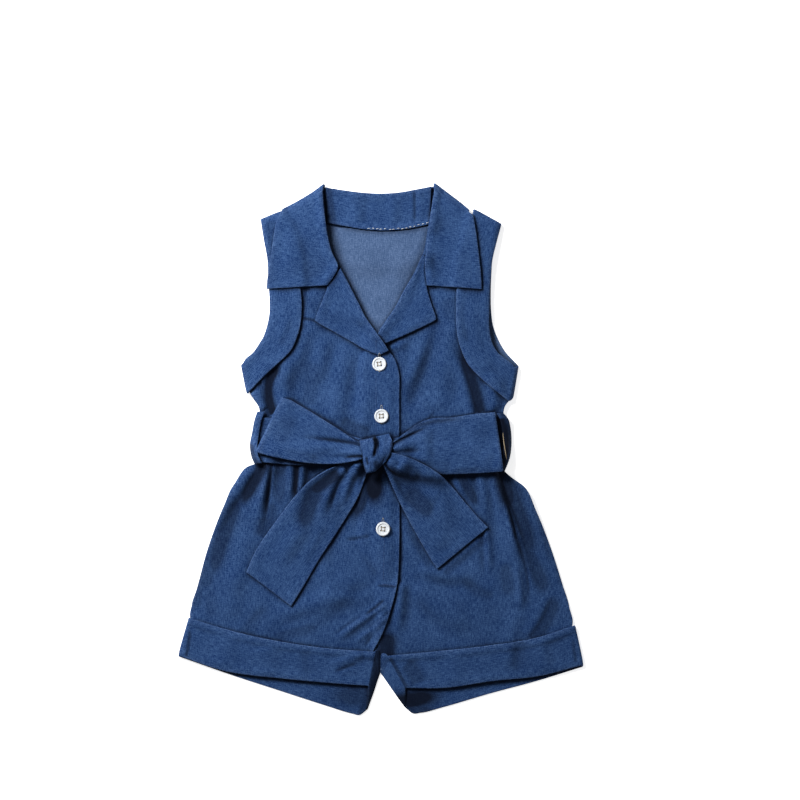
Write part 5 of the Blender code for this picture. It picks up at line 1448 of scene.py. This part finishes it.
def new_material(name):
    """A new material, its node tree and its surface shader."""
    made = bpy.data.materials.new(name)
    made.use_nodes = True
    return made, made.node_tree, made.node_tree.nodes["Principled BSDF"]


def roughen(tree, surface, height, strength, distance):
    """Lets the surface stand up by a height, a share of a distance in metres."""
    bump = tree.nodes.new("ShaderNodeBump")
    fill_in(bump, Strength=strength, Distance=distance)
    tree.links.new(height, bump.inputs["Height"])
    tree.links.new(bump.outputs[0], surface.inputs["Normal"])


def denim():
    """The romper's cloth: indigo outside, paler inside, rims pale with wear, painted highlight on
    raised cloth, and painted shade in folds and hollows.
    """
    found = bpy.data.materials.get("woven_denim")
    if found:
        return found
    look = bpy.context.scene.romper_denim
    made, tree, surface = new_material("woven_denim")
    where = tree.nodes.new("ShaderNodeUVMap")
    where.uv_map = "cloth"
    weave = tree.nodes.new("ShaderNodeGroup")
    weave.node_tree = weave_group()
    fill_in(weave, Pitch=look.thread / MM)
    tree.links.new(where.outputs[0], weave.inputs["Place"])
    pale = weave.outputs["Pale"]
    outside = blend(tree, pale, look.warp, look.weft)
    inside = blend(tree, pale, look.inside_warp, look.inside_weft)
    tint = blend(tree, attribute(tree, "reverse"), outside, inside)
    # rim: paler with wear at the rims, and with painted highlight where cloth stands above its
    # surroundings.
    paling = maths(tree, "MULTIPLY", attribute(tree, "rim"),
                 maths(tree, "MULTIPLY", pale, MOST_PALED))
    tint = blend(tree, paling, tint, look.inside_weft)
    # shade: painted shade in folds and hollows, and painted contact shadows, blended towards the
    # hollow colour.
    lost = maths(tree, "MULTIPLY", attribute(tree, "shade"), MOST_DARKENED)
    tint = blend(tree, lost, tint, look.hollow)
    tree.links.new(tint, surface.inputs["Base Color"])
    rough = maths(tree, "MULTIPLY_ADD", pale, ROUGH_FALL, ROUGH_WARP)
    tree.links.new(rough, surface.inputs["Roughness"])
    fill_in(surface, Specular_IOR_Level=0.08, Sheen_Weight=0.03, Sheen_Roughness=0.5,
            Sheen_Tint=(0.45, 0.60, 0.90, 1.0))
    roughen(tree, surface, weave.outputs["Height"], strength=0.55, distance=0.00012)
    return made


def thread(name, tint, share=1.0):
    """Sewing thread of a share of a colour: plied, so a fine twist runs across it."""
    found = bpy.data.materials.get(name)
    if found:
        return found
    made, tree, surface = new_material(name)
    place = tree.nodes.new("ShaderNodeTexCoord")
    twist = tree.nodes.new("ShaderNodeTexWave")
    twist.bands_direction = "DIAGONAL"
    fill_in(twist, Scale=900.0, Distortion=1.5)
    tree.links.new(place.outputs["Object"], twist.inputs["Vector"])
    light = [share * channel for channel in tint]
    tint = blend(tree, twist.outputs["Fac"], [0.55 * channel for channel in light], light)
    tree.links.new(tint, surface.inputs["Base Color"])
    fill_in(surface, Roughness=0.7)
    roughen(tree, surface, twist.outputs["Fac"], strength=0.4, distance=0.00008)
    return made


def pearl():
    """White resin with a faint nacreous cloud and a polished surface."""
    light = bpy.context.scene.romper_trim.pearl
    made, tree, surface = new_material("pearl_button")
    place = tree.nodes.new("ShaderNodeTexCoord")
    cloud = stretched_noise(tree, place.outputs["Object"], (260.0, 420.0, 260.0), detail=3.0,
                            rough=0.55)
    cool = [channel * share for channel, share in zip(light, (0.88, 0.88, 0.93))]
    tree.links.new(blend(tree, cloud, cool, light), surface.inputs["Base Color"])
    tree.links.new(maths(tree, "MULTIPLY_ADD", cloud, 0.12, 0.18), surface.inputs["Roughness"])
    fill_in(surface, Coat_Weight=0.3, Subsurface_Weight=0.1, Subsurface_Scale=0.5,
            Subsurface_Radius=(0.002, 0.002, 0.0018))
    return made


# ---------------------------------------------------------------- operators


class ROMPER_OT_backs(Operator):
    """Lay the hidden back layers, the back bodice, the back shorts and the collar stand"""

    bl_idname = "romper.backs"
    bl_label = "Backs and collar stand"

    def execute(self, context):
        LAID.clear()
        wall = cloth("cuff_wall")
        for rows in (ARM_RIGHT, ARM_LEFT_BACK, COLLAR_BACK):
            lay_back(rows, wall)
        lay_back(BELT_BACK, cloth("belt_wall"))
        panel("bodice_back", BODICE_BACK, seed=3, front=False, soft=6.0)
        panel("shorts_back_right", SHORTS_BACK_RIGHT, seed=4, front=False)
        panel("shorts_back_left", SHORTS_BACK_LEFT, seed=5, front=False)
        for rows in (LEG_RIGHT_BACK, LEG_LEFT_BACK):
            lay_back(rows, wall)
        flat_strip("collar_stand", COLLAR_STAND, wall, seed=6, roll=0.8, roll_wide=4.0)
        return {"FINISHED"}


class ROMPER_OT_fronts(Operator):
    """Lay the left front, then the right front that laps over it, above and below the waist"""

    bl_idname = "romper.fronts"
    bl_label = "Fronts"

    def execute(self, context):
        puff = cloth("puff")
        lapping = LAPPING_PUFF * puff
        panel("bodice_front_left", BODICE_FRONT_LEFT, seed=11, puff=puff)
        panel("shorts_front_left", SHORTS_FRONT_LEFT, seed=12, puff=puff)
        panel("bodice_front_right", BODICE_FRONT_RIGHT, seed=13, puff=lapping)
        panel("shorts_front_right", SHORTS_FRONT_RIGHT, seed=14, puff=lapping)
        return {"FINISHED"}


class ROMPER_OT_cuffs(Operator):
    """Put the turned-out bands round the armholes and the cuffs round the legs"""

    bl_idname = "romper.cuffs"
    bl_label = "Cuffs"

    def execute(self, context):
        cuff("armhole_cuff_right", ARM_RIGHT, ARM_RIGHT, seed=21)
        cuff("armhole_cuff_left", ARM_LEFT_FRONT, ARM_LEFT_BACK, seed=22)
        cuff("leg_cuff_right", LEG_RIGHT_FRONT, LEG_RIGHT_BACK, seed=23, puff=1.0,
             corner=(1.4, 7.0), inner_dark=(0.5, 0.9))
        cuff("leg_cuff_left", LEG_LEFT_FRONT, LEG_LEFT_BACK, seed=24, puff=1.0,
             corner=(-2.6, 6.4))
        return {"FINISHED"}


class ROMPER_OT_collar(Operator):
    """Turn back the lapels and lay the collar round the neck"""

    bl_idname = "romper.collar"
    bl_label = "Lapels and collar"

    def execute(self, context):
        wall = cloth("cuff_wall") - LAPEL_THINNER
        flat_strip("lapel_left", LAPEL_LEFT, wall, seed=31, roll=1.2, bridge=3.0)
        flat_strip("lapel_right", LAPEL_RIGHT, wall, seed=32, roll=1.4, bridge=3.0)
        collar(seed=33)
        return {"FINISHED"}


class ROMPER_OT_belt(Operator):
    """Put the belt round the waist and the two belt loops over it"""

    bl_idname = "romper.belt"
    bl_label = "Belt and its loops"

    def execute(self, context):
        cuff("belt", BELT_FRONT, BELT_BACK, seed=41)
        wall = cloth("cuff_wall")
        flat_strip("belt_loop_right", BELT_LOOP_RIGHT, wall, seed=42, allowance=0.0)
        flat_strip("belt_loop_left", BELT_LOOP_LEFT, wall, seed=43, allowance=0.0)
        return {"FINISHED"}


class ROMPER_OT_bow(Operator):
    """Tie the bow: right tail, two loops, left tail and the knot over them"""

    bl_idname = "romper.bow"
    bl_label = "Bow"

    def execute(self, context):
        wall = cloth("belt_wall")
        flat_strip("bow_tail_right", BOW_TAIL_RIGHT, wall, seed=51, allowance=0.25, bridge=6.0)
        bow_loop("bow_loop_right", BOW_LOOP_RIGHT, seed=52, puff=1.6)
        bow_loop("bow_loop_left", BOW_LOOP_LEFT, seed=53, puff=1.4)
        flat_strip("bow_tail_left", BOW_TAIL_LEFT, wall, seed=54, allowance=0.25, bridge=6.0)
        knot()
        # Paints shade into hollows and highlight onto heights of every cloth piece laid so far.
        LAID.shade()
        return {"FINISHED"}


class ROMPER_OT_buttons(Operator):
    """Finish the three buttons and sew each on with four stitches through its four holes"""

    bl_idname = "romper.buttons"
    bl_label = "Buttons"

    def execute(self, context):
        nacre = pearl()
        tan = thread("button_thread", context.scene.romper_trim.button_thread)
        thick = BUTTON_THREAD_THICK / 2
        share = np.linspace(0, 1, 9)
        angle = circle(THREAD_SIDES)
        for name in BUTTON_SPOTS:
            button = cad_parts[name]
            button.data.materials.clear()
            button.data.materials.append(nacre)
            low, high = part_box(name)
            centre = (np.array(low + high) / 2 - SHIFT) / MM
            base = low.z / MM + DISH_TOP
            first = HOLE_SPREAD * np.array([(1, 1), (-1, 1), (-1, -1), (1, -1)])[:, None, :]
            run = np.roll(first, -1, axis=0) - first
            aside = run[..., ::-1] * (-1, 1) / (2 * HOLE_SPREAD)
            line = centre[:2] + first + run * share[:, None]
            points = np.zeros((4, len(share), THREAD_SIDES, 3))
            points[..., :2] = line[:, :, None] + thick * aside[:, :, None] * np.cos(angle)[:, None]
            arch = BUTTON_THREAD_ARCH * np.sin(np.pi * share) ** 0.7
            points[..., 2] = (base - 0.5 + arch)[:, None]
            points[..., 2] += thick * np.sin(angle)
            tubes("thread_of_" + name, points, tan)
        return {"FINISHED"}


class ROMPER_OT_sewing(Operator):
    """Sew the neck seam, the placket and fly, the bar at the fly's end and the buttonholes"""

    bl_idname = "romper.sewing"
    bl_label = "Sewing"

    def execute(self, context):
        trim = context.scene.romper_trim
        white = thread("white_thread", trim.white_thread)
        blue = thread("blue_thread", trim.blue_thread)
        pale = thread("buttonhole_thread", trim.white_thread, share=0.36)
        tan = thread("button_thread", trim.button_thread)
        stitch_row("neck_stitches", NECK_STITCHES, white, wander=1.0, seed=7)
        stitch_row("placket_stitches", PLACKET_STITCHES, blue)
        stitch_row("fly_stitches", FLY_STITCHES, blue)
        stitch_row("fly_bar", FLY_BAR, blue)
        stitch_row("belt_loop_thread", LOOP_THREAD, tan)
        for name, (x, y) in BUTTON_SPOTS.items():
            buttonhole(name.replace("button", "buttonhole"), x, y + BUTTONHOLE_ABOVE, pale)
        return {"FINISHED"}


class ROMPER_OT_stage(Operator):
    """Set the pale floor, the soft lights and the camera straight above"""

    bl_idname = "romper.stage"
    bl_label = "Stage"

    def execute(self, context):
        look = context.scene.romper_stage
        mesh = bpy.data.meshes.new("floor")
        corners = [(x * FLOOR_HALF, y * FLOOR_HALF, FLOOR_LOW)
                   for x, y in ((-1, -1), (1, -1), (1, 1), (-1, 1))]
        mesh.from_pydata(corners, [], [(0, 1, 2, 3)])
        floor = put("floor", mesh)
        paint, _, surface = new_material("floor_paint")
        fill_in(surface, Base_Color=(*look.floor, 1), Roughness=0.9, Emission_Color=(1, 1, 1, 1),
                Emission_Strength=look.glow)
        mesh.materials.append(paint)
        area_light("key", place=(-0.60, 0.57, 0.77), size=0.34, power=look.key)
        area_light("fill", place=(0.5, -0.3, 2.0), size=1.8, power=look.fill)
        world = bpy.data.worlds.new("studio")
        world.use_nodes = True
        fill_in(world.node_tree.nodes["Background"], Color=(1, 1, 1, 1), Strength=look.sky)
        context.scene.world = world
        context.scene.view_settings.view_transform = "Standard"
        view = bpy.data.cameras.new("camera")
        view.lens = look.lens
        view.sensor_width = SENSOR
        view.dof.use_dof = False
        camera = put("camera", view)
        camera.location = (*VIEW_CENTRE, FIELD * look.lens / SENSOR + CAMERA_LIFT)
        context.scene.camera = camera
        return {"FINISHED"}


def area_light(name, place, size, power):
    """A square light that faces the romper's middle."""
    lamp = bpy.data.lights.new(name, "AREA")
    lamp.size = size
    lamp.energy = power
    made = put(name, lamp)
    made.location = place
    made.rotation_euler = (-Vector(place)).to_track_quat("-Z", "Y").to_euler()


class ROMPER_PT_panel(Panel):
    """Sizes, colours and operators of the romper"""

    bl_label = "Romper"
    bl_idname = "ROMPER_PT_panel"
    bl_space_type = "VIEW_3D"
    bl_region_type = "UI"
    bl_category = "Romper"

    def draw(self, context):
        """Lists every setting, then every operator."""
        for settings, _ in GROUPS:
            box = self.layout.box()
            data = getattr(context.scene, settings)
            for name in data.__annotations__:
                box.prop(data, name)
        for step in STEPS:
            self.layout.operator(step.bl_idname)


GROUPS = (
    ("romper_cloth", RomperCloth), ("romper_denim", RomperDenim), ("romper_trim", RomperTrim),
    ("romper_stage", RomperStage),
)
STEPS = (
    ROMPER_OT_backs, ROMPER_OT_fronts, ROMPER_OT_cuffs, ROMPER_OT_collar, ROMPER_OT_belt,
    ROMPER_OT_bow, ROMPER_OT_buttons, ROMPER_OT_sewing, ROMPER_OT_stage,
)


def register():
    """Registers the settings, the operators and the panel."""
    for name, kind in GROUPS:
        bpy.utils.register_class(kind)
        setattr(bpy.types.Scene, name, PointerProperty(type=kind))
    for kind in (*STEPS, ROMPER_PT_panel):
        bpy.utils.register_class(kind)


def unregister():
    """Takes away what register has added, in reverse."""
    for kind in (ROMPER_PT_panel, *reversed(STEPS)):
        bpy.utils.unregister_class(kind)
    for name, kind in reversed(GROUPS):
        delattr(bpy.types.Scene, name)
        bpy.utils.unregister_class(kind)


def plan_shift():
    """Metres from the plan's origin to the frame's, from where the middle button lies."""
    low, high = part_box("button_middle")
    x, y = BUTTON_SPOTS["button_middle"]
    return np.array([(low.x + high.x) / 2 - x * MM, (low.y + high.y) / 2 - y * MM, 0.0])


SHIFT = plan_shift()


def main():
    """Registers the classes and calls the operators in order."""
    register()
    for step in STEPS:
        area, name = step.bl_idname.split(".")
        getattr(getattr(bpy.ops, area), name)()


if __name__ == "__main__":
    main()
